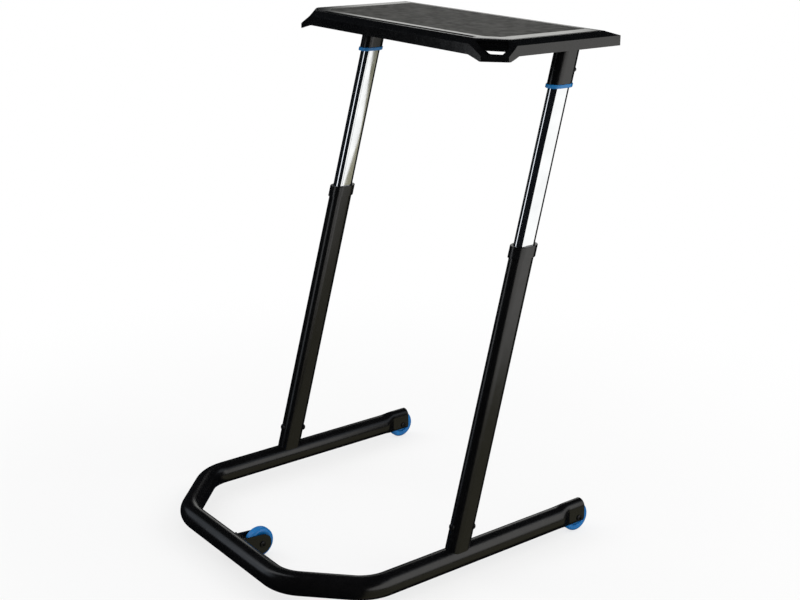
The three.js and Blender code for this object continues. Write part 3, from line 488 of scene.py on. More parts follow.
def make_front_fork():
    axle = AXLES["front_wheel"]
    top = TUBE_HEIGHT + TUBE_RADIUS * math.sin(FORK_TOP)
    low = TUBE_HEIGHT - TUBE_RADIUS * math.sin(FORK_LOW)
    outline = [(TUBE_FRONT, top)]
    for step in range(FORK_END_STEPS + 1):
        turn = math.pi / 2 - step / FORK_END_STEPS * math.pi * 1.1
        y, z = math.cos(turn) * FORK_END_RADIUS, math.sin(turn) * FORK_END_RADIUS
        outline.append((axle.y + y, axle.z + z))
    outline.append((TUBE_FRONT, low))
    outer = FORK_GAP_HALF + FORK_PLATE
    fork = side_plate("front_fork_body", outline, -outer, -FORK_GAP_HALF)
    other = side_plate("cheek", outline, FORK_GAP_HALF, outer)
    web = block(
        (-outer + FORK_PLATE / 2, TUBE_FRONT, low + FORK_PLATE / 4),
        (outer - FORK_PLATE / 2, TUBE_FRONT + TUBE_RADIUS + SEAM + FORK_WEB, top - FORK_PLATE),
    )
    join(fork, other, web)
    gap = Vector((FORK_GAP_HALF, 0, 0))
    reach = Vector((outer + TUBE_WALL, 0, 0))
    carve(
        fork,
        bar(AXLE_HEIGHT + WHEEL_ROOM, axle - gap, axle + gap),
        bar(AXLE_HOLE, axle - reach, axle + reach),
        tube_space((-2 * outer, TUBE_FRONT, TUBE_HEIGHT), (2 * outer, TUBE_FRONT, TUBE_HEIGHT)),
    )
    ease_edges(fork, 0.6 * mm, 3)
    return fit(fork, POWDER_COAT, "base", ["front_fork"])


make_front_fork()


# Weld beads. A rippled fillet of weld runs up the outside of both cheeks where they meet the tube.
# It lies under the same black powder coat.

BEAD_RADIUS = 2.2 * mm
BEAD_PITCH = 1.7 * mm
BEAD_RIPPLE = 0.16


def lay_bead(name, path):
    piece = wire(name, path)
    tree = Tree(name, {
        "Bead Radius": BEAD_RADIUS,
        "Pitch": BEAD_PITCH,
        "Ripple": BEAD_RIPPLE,
        "Seed": 5,
    })
    given = tree.given
    curve = tree.step("GeometryNodeMeshToCurve", Mesh=given["Geometry"])
    length = tree.sum("DIVIDE", given["Pitch"], 6.0)
    curve = tree.step("GeometryNodeResampleCurve", settings={"mode": "LENGTH"}, Curve=curve, Length=length)
    along = tree.step("GeometryNodeSplineParameter", "Length")
    wave = tree.sum("SINE", tree.sum("DIVIDE", tree.sum("MULTIPLY", along, 2 * math.pi), given["Pitch"]))
    stray = tree.step(
        "FunctionNodeRandomValue", 1, {"data_type": "FLOAT"}, in2=-0.5, in3=0.5, Seed=given["Seed"],
    )
    uneven = tree.sum("MULTIPLY", tree.sum("ADD", wave, stray), given["Ripple"])
    swell = tree.sum("MULTIPLY", given["Bead Radius"], tree.sum("ADD", uneven, 1.0))
    ring = tree.step("GeometryNodeCurvePrimitiveCircle", Resolution=14, Radius=1.0)
    curve = tree.step("GeometryNodeSetCurveRadius", Curve=curve, Radius=swell)
    bead = tree.step("GeometryNodeCurveToMesh", Curve=curve, Profile_Curve=ring, Fill_Caps=True, Scale=swell)
    tree.grow(piece, bead)
    turn_outwards(piece.data)
    return fit(piece, POWDER_COAT, "base", smooth=60)


def weld_fork():
    for side, sign in SIDES.items():
        path = []
        for step in range(25):
            turn = FORK_TOP * 0.93 - (FORK_TOP + FORK_LOW) * 0.9 * step / 24
            reach = TUBE_RADIUS + BEAD_RADIUS * 0.25
            x = sign * (FORK_GAP_HALF + FORK_PLATE + BEAD_RADIUS * 0.25)
            path.append((x, TUBE_FRONT + reach * math.cos(turn), TUBE_HEIGHT + reach * math.sin(turn)))
        lay_bead(f"fork_weld_{side}", path)


weld_fork()


# Wheels. Each is a skate-type wheel: a blue polyurethane tyre cast round a blue plastic core, with a
# shielded ball bearing pressed into each side. They turn on bolts through the cheeks.

TYRE_HALF = 12 * mm
TYRE_SHOULDER = 8 * mm
TYRE_BASE = 21 * mm
TYRE_BASE_HALF = 10 * mm
CORE_RADIUS = 20.4 * mm
CORE_HALF = 9 * mm
CORE_END = 13.1 * mm
CORE_BOSS = 14.3 * mm
BEARING_SEAT = 11.2 * mm
CORE_BORE = 6.5 * mm
CORE_LEAD = 0.4 * mm
SEAT_DEPTH = 8 * mm
DISC_SUNK = 1.5 * mm
BOSS_EDGE = 0.5 * mm
RACE_OUTER = 10.95 * mm
RACE_INNER = 4.05 * mm
RACE_WALL = 1.3 * mm
RACE_EDGE = 0.3 * mm
SHIELD_INSET = 0.5 * mm
SPACER_RADIUS = 5.2 * mm


URETHANE = Finish("blue_urethane", "blue_tread", 0.3)
URETHANE.tint(40, (0.002, 0.12, 0.38), (0.004, 0.18, 0.5))
URETHANE.gloss(220, 0.24, 0.42)
URETHANE.bump(500, 0.05 * mm, 0.4)
URETHANE.shader.inputs["Subsurface Weight"].default_value = 0.05
URETHANE.shader.inputs["Subsurface Radius"].default_value = (0.002, 0.004, 0.008)

BLUE_PLASTIC = Finish("blue_plastic", "blue_plastic", 0.3)
BLUE_PLASTIC.tint(30, (0.003, 0.13, 0.36), (0.004, 0.16, 0.42))
BLUE_PLASTIC.gloss(180, 0.25, 0.36, 3)
BLUE_PLASTIC.bump(700, 0.02 * mm, 0.5, 2)

BRIGHT_STEEL = Finish("bright_steel", "bright_steel", 0.25, metallic=1.0)
BRIGHT_STEEL.tint(120, (0.42, 0.43, 0.44), (0.56, 0.57, 0.58))
BRIGHT_STEEL.gloss(400, 0.18, 0.36)
BRIGHT_STEEL.bump(900, 0.02 * mm, 0.4, 4)

BLACK_STEEL = Finish("black_steel", "dark_steel", 0.3, metallic=0.85)
BLACK_STEEL.tint(160, (0.018, 0.018, 0.02), (0.035, 0.035, 0.038))
BLACK_STEEL.gloss(500, 0.22, 0.4)
BLACK_STEEL.bump(1200, 0.02 * mm, 0.5)


def arc(radius, along, reach, start, end, steps):
    """Points of (radius, along) on a quarter round of a turned profile."""
    points = []
    for step in range(steps + 1):
        turn = math.radians(start + (end - start) * step / steps)
        points.append((radius + reach * math.sin(turn), along + reach * math.cos(turn)))
    return points


def tyre_profile():
    shoulder = AXLE_HEIGHT - TYRE_SHOULDER
    tread = TYRE_HALF - TYRE_SHOULDER
    crown = arc(shoulder, tread, TYRE_SHOULDER, 90, 0, 12)
    half = [(AXLE_HEIGHT, 0)] + crown
    half += [(TYRE_BASE + 1.2 * mm, TYRE_BASE_HALF + 1 * mm), (TYRE_BASE + 0.3 * mm, TYRE_BASE_HALF)]
    half += [(TYRE_BASE, TYRE_BASE_HALF - 1 * mm)]
    return half + [(radius, -along) for radius, along in reversed(half[1:])]


def core_profile():
    seat, disc = CORE_END - SEAT_DEPTH, CORE_HALF - DISC_SUNK
    half = [
        (CORE_BORE, seat), (BEARING_SEAT, seat), (BEARING_SEAT, CORE_END - CORE_LEAD),
        (BEARING_SEAT + CORE_LEAD, CORE_END), (CORE_BOSS - BOSS_EDGE, CORE_END),
        (CORE_BOSS, CORE_END - BOSS_EDGE), (CORE_BOSS + BOSS_EDGE, disc), (CORE_RADIUS - DISC_SUNK, disc),
        (CORE_RADIUS - 1 * mm, CORE_HALF), (CORE_RADIUS, CORE_HALF - CORE_LEAD),
    ]
    return half + [(radius, -along) for radius, along in reversed(half)]


def bearing_profile(near, far, spacer_end):
    """Outer race, sunk shield, inner race and the spacer that bears on the cheek."""
    sunk = far - math.copysign(SHIELD_INSET, far)
    edge = math.copysign(RACE_EDGE, far)
    return [
        (RACE_INNER, near), (RACE_OUTER - RACE_EDGE, near), (RACE_OUTER, near + edge),
        (RACE_OUTER, far - edge), (RACE_OUTER - RACE_EDGE, far),
        (RACE_OUTER - RACE_WALL, far), (RACE_OUTER - RACE_WALL - 0.1 * mm, sunk),
        (RACE_INNER + 2 * RACE_WALL, sunk), (RACE_INNER + 2 * RACE_WALL - 0.1 * mm, far),
        (SPACER_RADIUS, far), (SPACER_RADIUS, spacer_end), (RACE_INNER, spacer_end),
    ]


def domed_head(radius, start, height):
    """Profile of a bolt's head: a low dome over a short round edge."""
    side = math.copysign(1, height)
    points = [(radius - 0.3 * mm, start), (radius, start + side * 0.3 * mm), (radius, start + height * 0.3)]
    for step in range(1, 9):
        turn = math.pi / 2 * step / 9
        points.append((radius * math.cos(turn), start + height * (0.3 + 0.7 * math.sin(turn))))
    return points + [(0, start + height)]


def on_axis(centre, axis, distance):
    return Vector(centre) + Vector(axis) * distance


def make_bolt(name, centre, axis, shank, head, height, socket):
    """A button-head bolt: shank (from, to, radius) along the axis, head at its far end with a hex socket."""
    start, end, radius = shank
    side = math.copysign(1, height)
    tip = 0.6 * mm * side
    profile = [(0, start), (radius - 0.6 * mm, start), (radius, start + tip), (radius, end)]
    bolt = turned(name, profile + domed_head(head, end, height), centre, axis)
    deep, out = (on_axis(centre, axis, end + height * share) for share in (0.35, 2))
    return carve(bolt, bar(socket, deep, out, 6))


def make_nut(name, centre, axis, start, end, radius, bore):
    """A hexagon nut with chamfered corners and a nylon collar."""
    nut = bar(radius, on_axis(centre, axis, start), on_axis(centre, axis, end), 6)
    nut.name = name
    side = math.copysign(1, end - start)
    collar = end + side * 0.5 * mm
    ring = turned("collar", [
        (bore, start), (radius * 0.8, start), (radius * 0.8, end), (radius * 0.72, collar), (bore, collar),
    ], centre, axis)
    past = side * 2 * mm
    hole = bar(bore, on_axis(centre, axis, start - past), on_axis(centre, axis, end + past))
    carve(nut, hole)
    join(nut, ring)
    return ease_edges(nut, 0.3 * mm, 2)


AXLE_SHANK = 3.85 * mm
AXLE_HEAD = 7.5 * mm
AXLE_HEAD_HEIGHT = 3.6 * mm
AXLE_SOCKET = 2.9 * mm
AXLE_NUT = 7 * mm
AXLE_NUT_HEIGHT = 5.5 * mm


def make_wheel(name, cheek):
    axle = AXLES[name]
    across = (1, 0, 0)
    tyre = turned(f"{name}_cast_tyre", tyre_profile(), axle, facets=96)
    fit(tyre, URETHANE, name, [f"{name}_tyre"], 50)
    core = turned(f"{name}_core", core_profile(), axle, facets=64)
    fit(core, BLUE_PLASTIC, name, [f"{name}_hub"])
    for side, mark in ((-1, "a"), (1, "b")):
        near = side * (CORE_END - 7.3 * mm)
        far = side * (CORE_END - 0.3 * mm)
        spacer_end = side * (FORK_GAP_HALF - 0.8 * mm)
        bearing = turned(f"{name}_ball_bearing_{mark}", bearing_profile(near, far, spacer_end), axle)
        fit(bearing, BRIGHT_STEEL, name, [f"{name}_bearing_{mark}"])
    face = FORK_GAP_HALF + cheek + SEAM
    bolt = make_bolt(
        f"{name}_bolt", axle, across, (-face - AXLE_NUT_HEIGHT + 0.4 * mm, face, AXLE_SHANK),
        AXLE_HEAD, AXLE_HEAD_HEIGHT, AXLE_SOCKET,
    )
    fit(bolt, BLACK_STEEL, "base", [f"{name}_axle_bolt"])
    nut = make_nut(f"{name}_nut", axle, across, -face, -face - AXLE_NUT_HEIGHT, AXLE_NUT, AXLE_HOLE)
    fit(nut, BLACK_STEEL, "base", [f"{name}_axle_nut"])


for wheel_name in WHEELS:
    make_wheel(wheel_name, FORK_PLATE if wheel_name == "front_wheel" else TUBE_WALL)


# Legs. Flat-sided oval steel tube, raked towards the rider and cut at the foot to sit on the rail.
# Each is pushed over a welded stub and held by a bolt and a cap nut through both.

SLIDE = next(joint for joint in frame["joints"] if joint["name"] == "height_slide")
LEG_AXIS = Vector(SLIDE["axis"]).normalized()
LEG_FACING = Vector((0, LEG_AXIS.z, -LEG_AXIS.y))
LEG_HALF_LENGTH = 30 * mm
LEG_SIZE = (LEG_HALF_LENGTH, 20 * mm)
LEG_WALL = 1.5 * mm
LEG_FACETS = 96
LEG_BOLT_RISE = 70.4 * mm
LEG_BOLT_SHANK = 4 * mm
LEG_BOLT_HEAD = 8 * mm
LEG_BOLT_HEIGHT = 4.8 * mm
LEG_BOLT_SOCKET = 3 * mm
CAP_NUT_HEIGHT = 9 * mm


def leg_point(height, x=0.0):
    """Where a leg's centre line stands at a height."""
    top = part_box("leg_tube_right")[1]
    y = top[1] - LEG_HALF_LENGTH / LEG_AXIS.z - (top[2] - height) * LEG_AXIS.y / LEG_AXIS.z
    return Vector((x, y, height))


def leg_ring(height, size, grow=0.0):
    """A leg's oval section, grown evenly by a distance, where a level plane cuts it."""
    half_length, half_width = size[0] + grow, size[1] + grow
    centre = leg_point(height, RAIL_X)
    points = []
    for k in range(LEG_FACETS):
        turn = 2 * math.pi * (k + 0.5) / LEG_FACETS
        rise = half_width * math.sin(turn)
        along = rise + math.copysign(half_length - half_width, rise)
        points.append((centre.x + half_width * math.cos(turn), centre.y + along / LEG_AXIS.z, height))
    return points


def round_edge(size, grow, centre, radius, start):
    """Five oval sections round an outside edge, a quarter turn from a start angle in degrees."""
    turns = [math.radians(start + 90 * step / 4) for step in range(5)]
    return [leg_ring(centre + radius * math.sin(turn), size, grow - radius * (1 - math.cos(turn)))
            for turn in turns]


def leg_stock(name, low, high, size, wall):
    places = ((low, 0), (high, 0), (high, -wall), (low, -wall))
    return skin(name, [leg_ring(height, size, grow) for height, grow in places], hollow=True)


def fit_pair(piece, finish, body, node, smooth=35):
    """Fits a right-hand piece and its twin on the left. The node's name ends with its side's."""
    left = twin(piece, piece.name.replace("_right", "_left"))
    for side, part in (("right", piece), ("left", left)):
        fit(part, finish, body, [f"{node}_{side}"], smooth)


def make_legs():
    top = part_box("leg_tube_right")[1][2]
    leg = leg_stock("leg_oval_right", TUBE_HEIGHT, top, LEG_SIZE, LEG_WALL)
    foot = leg_point(TUBE_HEIGHT, RAIL_X)
    reach = Vector((0, 3 * LEG_HALF_LENGTH, 0))
    carve(leg, tube_space(foot - reach, foot + reach))
    ease_edges(leg, 0.3 * mm, 2, 40)
    fit_pair(leg, POWDER_COAT, "base", "leg_tube")

    centre = leg_point(TUBE_HEIGHT + LEG_BOLT_RISE, RAIL_X)
    face = LEG_HALF_LENGTH + SEAM
    bolt = make_bolt(
        "leg_bolt_head_right", centre, LEG_FACING, (face + CAP_NUT_HEIGHT * 0.4, -face, LEG_BOLT_SHANK),
        LEG_BOLT_HEAD, -LEG_BOLT_HEIGHT, LEG_BOLT_SOCKET,
    )
    fit_pair(bolt, BLACK_STEEL, "base", "leg_bolt")
    bore = LEG_BOLT_SHANK + SEAM
    well = face + CAP_NUT_HEIGHT * 0.45
    cap = turned("leg_cap_nut_right", [(0, well), (bore, well), (bore, face)]
                 + domed_head(LEG_BOLT_HEAD, face, CAP_NUT_HEIGHT), centre, LEG_FACING)
    fit_pair(cap, BLACK_STEEL, "base", "leg_nut")


make_legs()


# Collars. A moulded black plastic cap closes each leg's top. Its liner reaches down inside the leg
# and guides the inner tube.

COLLAR_LIP = 4 * mm
COLLAR_PROUD = 3 * mm
COLLAR_SKIRT = 22.5 * mm
COLLAR_LINER = 62 * mm
COLLAR_ROUND = 1.2 * mm
COLLAR_LEAD = 0.4 * mm
LINER_INSET = -LEG_WALL - SEAM
INNER_SIZE = (25.5 * mm, 17 * mm)

MOULDED_BLACK = Finish("moulded_black", "black_plastic", 0.3)
MOULDED_BLACK.tint(20, (0.0012, 0.0013, 0.0015), (0.0022, 0.0024, 0.0028))
MOULDED_BLACK.gloss(90, 0.2, 0.28)
MOULDED_BLACK.grain(1300, 0.012 * mm, 0.4)
MOULDED_BLACK.bump(45, 0.05 * mm, 0.15, 2)


def make_collars():
    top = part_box("leg_tube_right")[1][2]
    lip = top + COLLAR_LIP
    rings = [leg_ring(top - COLLAR_SKIRT, LEG_SIZE, COLLAR_PROUD)]
    rings += round_edge(LEG_SIZE, COLLAR_PROUD, lip - COLLAR_ROUND, COLLAR_ROUND, 0)
    rings += [leg_ring(*place) for place in (
        (lip, INNER_SIZE, SEAM + COLLAR_LEAD), (lip - COLLAR_LEAD, INNER_SIZE, SEAM),
        (top - COLLAR_LINER, INNER_SIZE, SEAM), (top - COLLAR_LINER, LEG_SIZE, LINER_INSET),
        (top + SEAM, LEG_SIZE, LINER_INSET), (top + SEAM, LEG_SIZE, SEAM),
        (top - COLLAR_SKIRT, LEG_SIZE, SEAM),
    )]
    collar = skin("leg_cap_collar_right", rings, hollow=True)
    fit_pair(collar, MOULDED_BLACK, "base", "leg_collar")


make_collars()


# Inner tubes, trim rings and sleeves. The chromed tubes slide in the legs. A blue plastic ring lines
# the mouth of the black sleeve that carries the desk, and one bolt holds tube, ring and sleeve.

RING_ROUND = 1 * mm
RING_PROUD = 2.2 * mm
RING_LINER = 40 * mm
INNER_WALL = 1.5 * mm
NOTCH_HALF = 4.6 * mm
SLEEVE_BOLT_SHANK = 3 * mm
SLEEVE_BOLT_HEAD = 6 * mm
SLEEVE_BOLT_HEIGHT = 10 * mm
SLEEVE_BOLT_SOCKET = 2.5 * mm
SLEEVE_BOLT_RISE = 35.2 * mm

CHROME = Finish("bright_chrome", "chrome", 0.06, metallic=1.0)
CHROME.tint(18, (0.62, 0.64, 0.66), (0.7, 0.72, 0.74))
CHROME.gloss(35, 0.03, 0.07, 5)
CHROME.bump(300, 0.003 * mm, 0.3, 4, (1, 1, 0.04))


def make_rising_tubes():
    low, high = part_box("inner_tube_right")
    tube = leg_stock("chromed_tube_right", low[2], high[2], INNER_SIZE, INNER_WALL)
    ease_edges(tube, 0.3 * mm, 2, 40)
    fit_pair(tube, CHROME, "rising_desk", "inner_tube")

    sleeve_low, sleeve_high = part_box("sleeve_right")[0][2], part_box("sleeve_right")[1][2]
    ring_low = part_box("trim_ring_right")[0][2]
    ring_top = sleeve_low - SEAM
    liner_top = ring_top + RING_LINER
    rings = round_edge(LEG_SIZE, RING_PROUD, ring_low + RING_ROUND, RING_ROUND, -90)
    rings += round_edge(LEG_SIZE, RING_PROUD, ring_top - RING_ROUND, RING_ROUND, 0)
    rings += [leg_ring(*place) for place in (
        (ring_top, LEG_SIZE, LINER_INSET), (liner_top, LEG_SIZE, LINER_INSET),
        (liner_top, INNER_SIZE, SEAM), (ring_low, INNER_SIZE, SEAM),
    )]
    ring = skin("mouth_ring_right", rings, hollow=True)
    fit_pair(ring, BLUE_PLASTIC, "rising_desk", "trim_ring")

    sleeve = leg_stock("desk_sleeve_right", sleeve_low, sleeve_high, LEG_SIZE, LEG_WALL)
    lever_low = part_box("release_lever_right")[0][2]
    front = leg_point(sleeve_high, RAIL_X)
    notch = block(
        (RAIL_X - NOTCH_HALF, front.y - 2 * LEG_HALF_LENGTH, lever_low - LEG_BOLT_HEAD),
        (RAIL_X + NOTCH_HALF, front.y, sleeve_high + LEG_BOLT_HEAD),
    )
    carve(sleeve, notch)
    ease_edges(sleeve, 0.3 * mm, 2, 40)
    fit_pair(sleeve, POWDER_COAT, "rising_desk", "sleeve")

    centre = leg_point(sleeve_low + SLEEVE_BOLT_RISE, RAIL_X)
    bolt = make_bolt(
        "desk_sleeve_bolt_right", centre, LEG_FACING,
        (7 * mm, LEG_HALF_LENGTH + SEAM, SLEEVE_BOLT_SHANK),
        SLEEVE_BOLT_HEAD, SLEEVE_BOLT_HEIGHT, SLEEVE_BOLT_SOCKET,
    )
    fit_pair(bolt, BLACK_STEEL, "rising_desk", "sleeve_bolt")


make_rising_tubes()


# Gas springs and stubs. Hidden inside the legs: a steel stub on the rail, a polished rod on the leg
# bolt, a black cylinder with its valve button, and the pin that the lever turns on.

def paint(node, finish):
    """Gives a CAD node that stays in view its finish."""
    mesh = frame["nodes"][node].data
    mesh.materials.clear()
    mesh.materials.append(finish.material)


for side_name in SIDES:
    paint(f"leg_socket_{side_name}", POWDER_COAT)
    paint(f"gas_rod_{side_name}", BRIGHT_STEEL)
    paint(f"gas_cylinder_{side_name}", BLACK_STEEL)
    paint(f"valve_button_{side_name}", BRIGHT_STEEL)
    paint(f"lever_pin_{side_name}", BRIGHT_STEEL)


# Plates, cross rail and levers. Folded and welded steel under the board, coated black, with two ears
# on each plate for the pin of a moulded lever that lets the desk rise.

def dressed(node, width, steps=2):
    """A copy of a CAD node with its faces made whole and its edges rounded."""
    mesh = frame["nodes"][node].data.copy()
    shell = bmesh.new()
    shell.from_mesh(mesh)
    bmesh.ops.remove_doubles(shell, verts=shell.verts, dist=0.005 * mm)
    bmesh.ops.dissolve_limit(
        shell, angle_limit=math.radians(0.5), verts=shell.verts, edges=shell.edges, delimit={"NORMAL"},
    )
    shell.to_mesh(mesh)
    shell.free()
    piece = new_piece(f"{node}_shell", mesh)
    return ease_edges(piece, width, steps)


for side_name in SIDES:
    plate = dressed(f"mount_plate_{side_name}", 0.5 * mm)
    fit(plate, POWDER_COAT, "rising_desk", [f"mount_plate_{side_name}"])
    lever = dressed(f"release_lever_{side_name}", 0.9 * mm, 3)
    fit(lever, MOULDED_BLACK, f"lever_{side_name}", [f"release_lever_{side_name}"])
fit(dressed("cross_rail", 0.8 * mm, 3), POWDER_COAT, "rising_desk", ["cross_rail"])


# Desk board. A moulded black panel with a shallow recess for the mat and, in front of it, a groove
# that a tablet stands in.

DESK_PANEL = Finish("desk_panel", "desk_laminate", 0.15)
DESK_PANEL.tint(9, (0.0025, 0.0025, 0.0026), (0.004, 0.004, 0.0042))
DESK_PANEL.gloss(70, 0.08, 0.12)
DESK_PANEL.grain(1500, 0.008 * mm, 0.3)
REAR_SLOPE = math.tan(math.radians(1.8))
REAR_GAP = 1 * mm
REAR_LEAD = 4 * mm


def rear_fall(y):
    """How far the desk's rear border has dropped at a place behind the mat."""
    return max(0, (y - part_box("desk_mat")[1][1] - REAR_GAP) * REAR_SLOPE)


def make_board():
    board = dressed("desk_board", 0.3 * mm)
    low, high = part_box("desk_board")
    start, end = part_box("desk_mat")[1][1] - REAR_LEAD, high[1] + REAR_LEAD
    over = high[2] + REAR_LEAD
    slope_start = high[2] + (REAR_LEAD + REAR_GAP) * REAR_SLOPE
    slope_end = high[2] - rear_fall(end)
    profile = [(start, slope_start), (end, slope_end), (end, over), (start, over)]
    above = skin("above_rear", [[(x, y, z) for y, z in profile] for x in (low[0] - mm, high[0] + mm)])
    fit(carve(board, above), DESK_PANEL, "rising_desk", ["desk_board"])


make_board()


# Mat. A sheet of dark brown-grey rubber, bonded into its recess in the board. It is textured like
# fine leather, with faint paler blotches.

MAT_RUBBER = Finish("mat_rubber", "grip_mat", 0.6)
blotches = MAT_RUBBER.step(
    "ShaderNodeMix", Factor=0.35, A=MAT_RUBBER.noise(38, 5), B=MAT_RUBBER.noise(420, 3),
)
MAT_RUBBER.color(blotches, [(0.36, (0.022, 0.0215, 0.019)), (0.64, (0.085, 0.084, 0.077))])
MAT_RUBBER.gloss(55, 0.5, 0.66)
MAT_RUBBER.grain(420, 0.2 * mm, 0.7)
MAT_RUBBER.bump(1500, 0.06 * mm, 0.5)
fit(dressed("desk_mat", 0.25 * mm), MAT_RUBBER, "rising_desk", ["desk_mat"])


# Edge skirt. One black moulding round the whole board: a crowned rim, a sloping band and an upright
# fascia, with a ledge inside that the board lies on and a wall across each cut corner.

RIM_WIDTH = 6 * mm
RIM_CROWN = 0.5 * mm
RIM_EDGE = 1 * mm
RIM_DROP = 1.2 * mm
BAND_OUT = 17.6 * mm
REAR_BAND_OUT = 30 * mm
BAND_DROP = 11.3 * mm
SKIRT_DEPTH = 33.9 * mm
SKIRT_WALL = 3 * mm
LEDGE_WIDTH = 19 * mm
BOARD_THICKNESS = 10 * mm
CORNER_WALL_DEPTH = 26.5 * mm
CHAMFER_ACROSS = 65.4 * mm
CHAMFER_DEEP = 47.5 * mm
SEAM_OFFSET = 0.5 * mm
WALL_ALONG = (-27.5 * mm, 100.7 * mm)
CUT_ALONG = (-70 * mm, 150 * mm)
CUT_REACH = 90 * mm
CUT_SPARE = 5 * mm

DESK_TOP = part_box("edge_skirt")[1][2]
DESK_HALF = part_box("desk_board")[1][0] + RIM_WIDTH + SEAM
DESK_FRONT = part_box("desk_board")[0][1] - RIM_WIDTH - SEAM
DESK_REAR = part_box("desk_board")[1][1] + RIM_WIDTH + SEAM
CHAMFER_START = Vector((DESK_HALF - CHAMFER_ACROSS, DESK_FRONT, DESK_TOP))
CHAMFER_ALONG = Vector((CHAMFER_ACROSS, CHAMFER_DEEP, 0)).normalized()
CHAMFER_OUT = Vector((CHAMFER_DEEP, -CHAMFER_ACROSS, 0)).normalized()
CHAMFER_LENGTH = math.hypot(CHAMFER_ACROSS, CHAMFER_DEEP)


def desk_ring(out, rise, rear_out=None):
    """The desk's outline with cut front corners, grown outwards, at a height from its top."""
    corners = [
        Vector((-DESK_HALF, DESK_REAR)), Vector((-DESK_HALF, DESK_FRONT + CHAMFER_DEEP)),
        Vector((-DESK_HALF + CHAMFER_ACROSS, DESK_FRONT)), Vector((DESK_HALF - CHAMFER_ACROSS, DESK_FRONT)),
        Vector((DESK_HALF, DESK_FRONT + CHAMFER_DEEP)), Vector((DESK_HALF, DESK_REAR)),
    ]
    ring = []
    for i, corner in enumerate(corners):
        arriving = (corner - corners[i - 1]).normalized()
        leaving = (corners[(i + 1) % len(corners)] - corner).normalized()
        first, second = Vector((arriving.y, -arriving.x)), Vector((leaving.y, -leaving.x))
        mitre = (first + second) / (1 + first.dot(second))
        back = out if rear_out is None or corner.y < DESK_REAR else rear_out
        y = corner.y + mitre.y * back
        fall = rear_fall(y) if -RIM_DROP <= rise else 0
        ring.append((corner.x + mitre.x * out, y, DESK_TOP + rise - fall))
    return ring


def at_corner(along, out, drop):
    """A point by its distance along the right cut corner, out from it and down from the desk top."""
    return CHAMFER_START + CHAMFER_ALONG * along + CHAMFER_OUT * out - Vector((0, 0, drop))


def corner_block(along, out, drop):
    """A block set square to the right cut corner, from pairs of limits."""
    rings = [[at_corner(t, r, d) for r, d in ((out[0], drop[0]), (out[1], drop[0]), (out[1], drop[1]),
                                             (out[0], drop[1]))] for t in along]
    return skin("corner_block", rings)


def make_skirt():
    band_fall = (BAND_DROP - RIM_DROP) / BAND_OUT
    band_thick = SKIRT_WALL * math.hypot(1, band_fall)
    inner = BAND_OUT - SKIRT_WALL
    rear_inner = REAR_BAND_OUT - SKIRT_WALL
    rim_inside = SKIRT_WALL - RIM_WIDTH
    ledge_top = -BOARD_THICKNESS - SEAM
    ledge_bottom = ledge_top - SKIRT_WALL
    profile = [
        (-RIM_WIDTH, -0.1 * mm, None), (-RIM_WIDTH + 0.3 * mm, 0, None), (-RIM_EDGE, -RIM_CROWN, None),
        (0, -RIM_DROP, None), (BAND_OUT, -BAND_DROP, REAR_BAND_OUT), (BAND_OUT, -SKIRT_DEPTH, REAR_BAND_OUT),
        (inner, -SKIRT_DEPTH, rear_inner), (inner, -RIM_DROP - band_fall * inner - band_thick, rear_inner),
        (rim_inside, -RIM_DROP - band_fall * rim_inside - band_thick, None), (rim_inside, ledge_bottom, None),
        (-RIM_WIDTH - LEDGE_WIDTH, ledge_bottom, None), (-RIM_WIDTH - LEDGE_WIDTH, ledge_top, None),
        (-RIM_WIDTH, ledge_top, None),
    ]
    skirt = skin("moulded_edge", [desk_ring(*point) for point in profile], hollow=True)
    ease_edges(skirt, 0.9 * mm, 3, 20)
    wall = corner_block(WALL_ALONG, (SEAM_OFFSET - SKIRT_WALL, SEAM_OFFSET), (BAND_DROP, CORNER_WALL_DEPTH))
    beyond = corner_block(CUT_ALONG, (SEAM_OFFSET, CUT_REACH), (-CUT_SPARE, 2 * SKIRT_DEPTH))
    lever_low, lever_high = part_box("release_lever_right")
    plate_low, plate_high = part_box("mount_plate_right")
    notch = block((plate_low[0] - SEAM, lever_low[1] - CUT_SPARE, DESK_TOP - SKIRT_DEPTH),
                  (plate_high[0] + SEAM, plate_high[1] + SEAM, plate_high[2] + SEAM))
    join(skirt, twin(wall, "left_wall"), wall)
    carve(skirt, twin(beyond, "left_cut"), beyond, twin(notch, "left_notch"), notch)
    fit(skirt, MOULDED_BLACK, "rising_desk", ["edge_skirt"], 25)


make_skirt()


# Corner grips. A moulded loop at each front corner: the band runs out and down to an upright lip,
# with a hole for the fingers above the lip. Its wall is thin, and it is open behind and below.

GRIP_WALL = 3.5 * mm
GRIP_SEAM = 0.51 * mm
GRIP_TOP = 1.1 * mm
GRIP_LEAD = 2.3 * mm
GRIP_DEPTH = 44.5 * mm
GRIP_STEPS = 16
GRIP_START, GRIP_END = -50 * mm, 130 * mm
LIP_FRONT, LIP_SIDE = 42.6 * mm, 28.5 * mm
LIP_HEIGHT = 11.5 * mm
ROOT_FRONT, ROOT_SIDE = 13.1 * mm, 6.6 * mm
FOOT_FRONT, FOOT_SIDE = 39.6 * mm, 24.6 * mm
HAND_HOLE = [(0.04, 0.1), (0.93, 0.08), (0.985, 0.33), (0.8, 0.735), (0.415, 0.735)]
HAND_HOLE_CORNER = 5 * mm
SPACE_SPARE = 20 * mm
LOOP_BACK = -12 * mm
UNDER_BACK = -9 * mm
UNDER_DEPTH = 60 * mm


def between(front, side, along):
    """A size that changes evenly from the front end of the cut corner to its side end."""
    return front + (side - front) * along / CHAMFER_LENGTH


def grip_stations():
    return [GRIP_START + (GRIP_END - GRIP_START) * step / GRIP_STEPS for step in range(GRIP_STEPS + 1)]


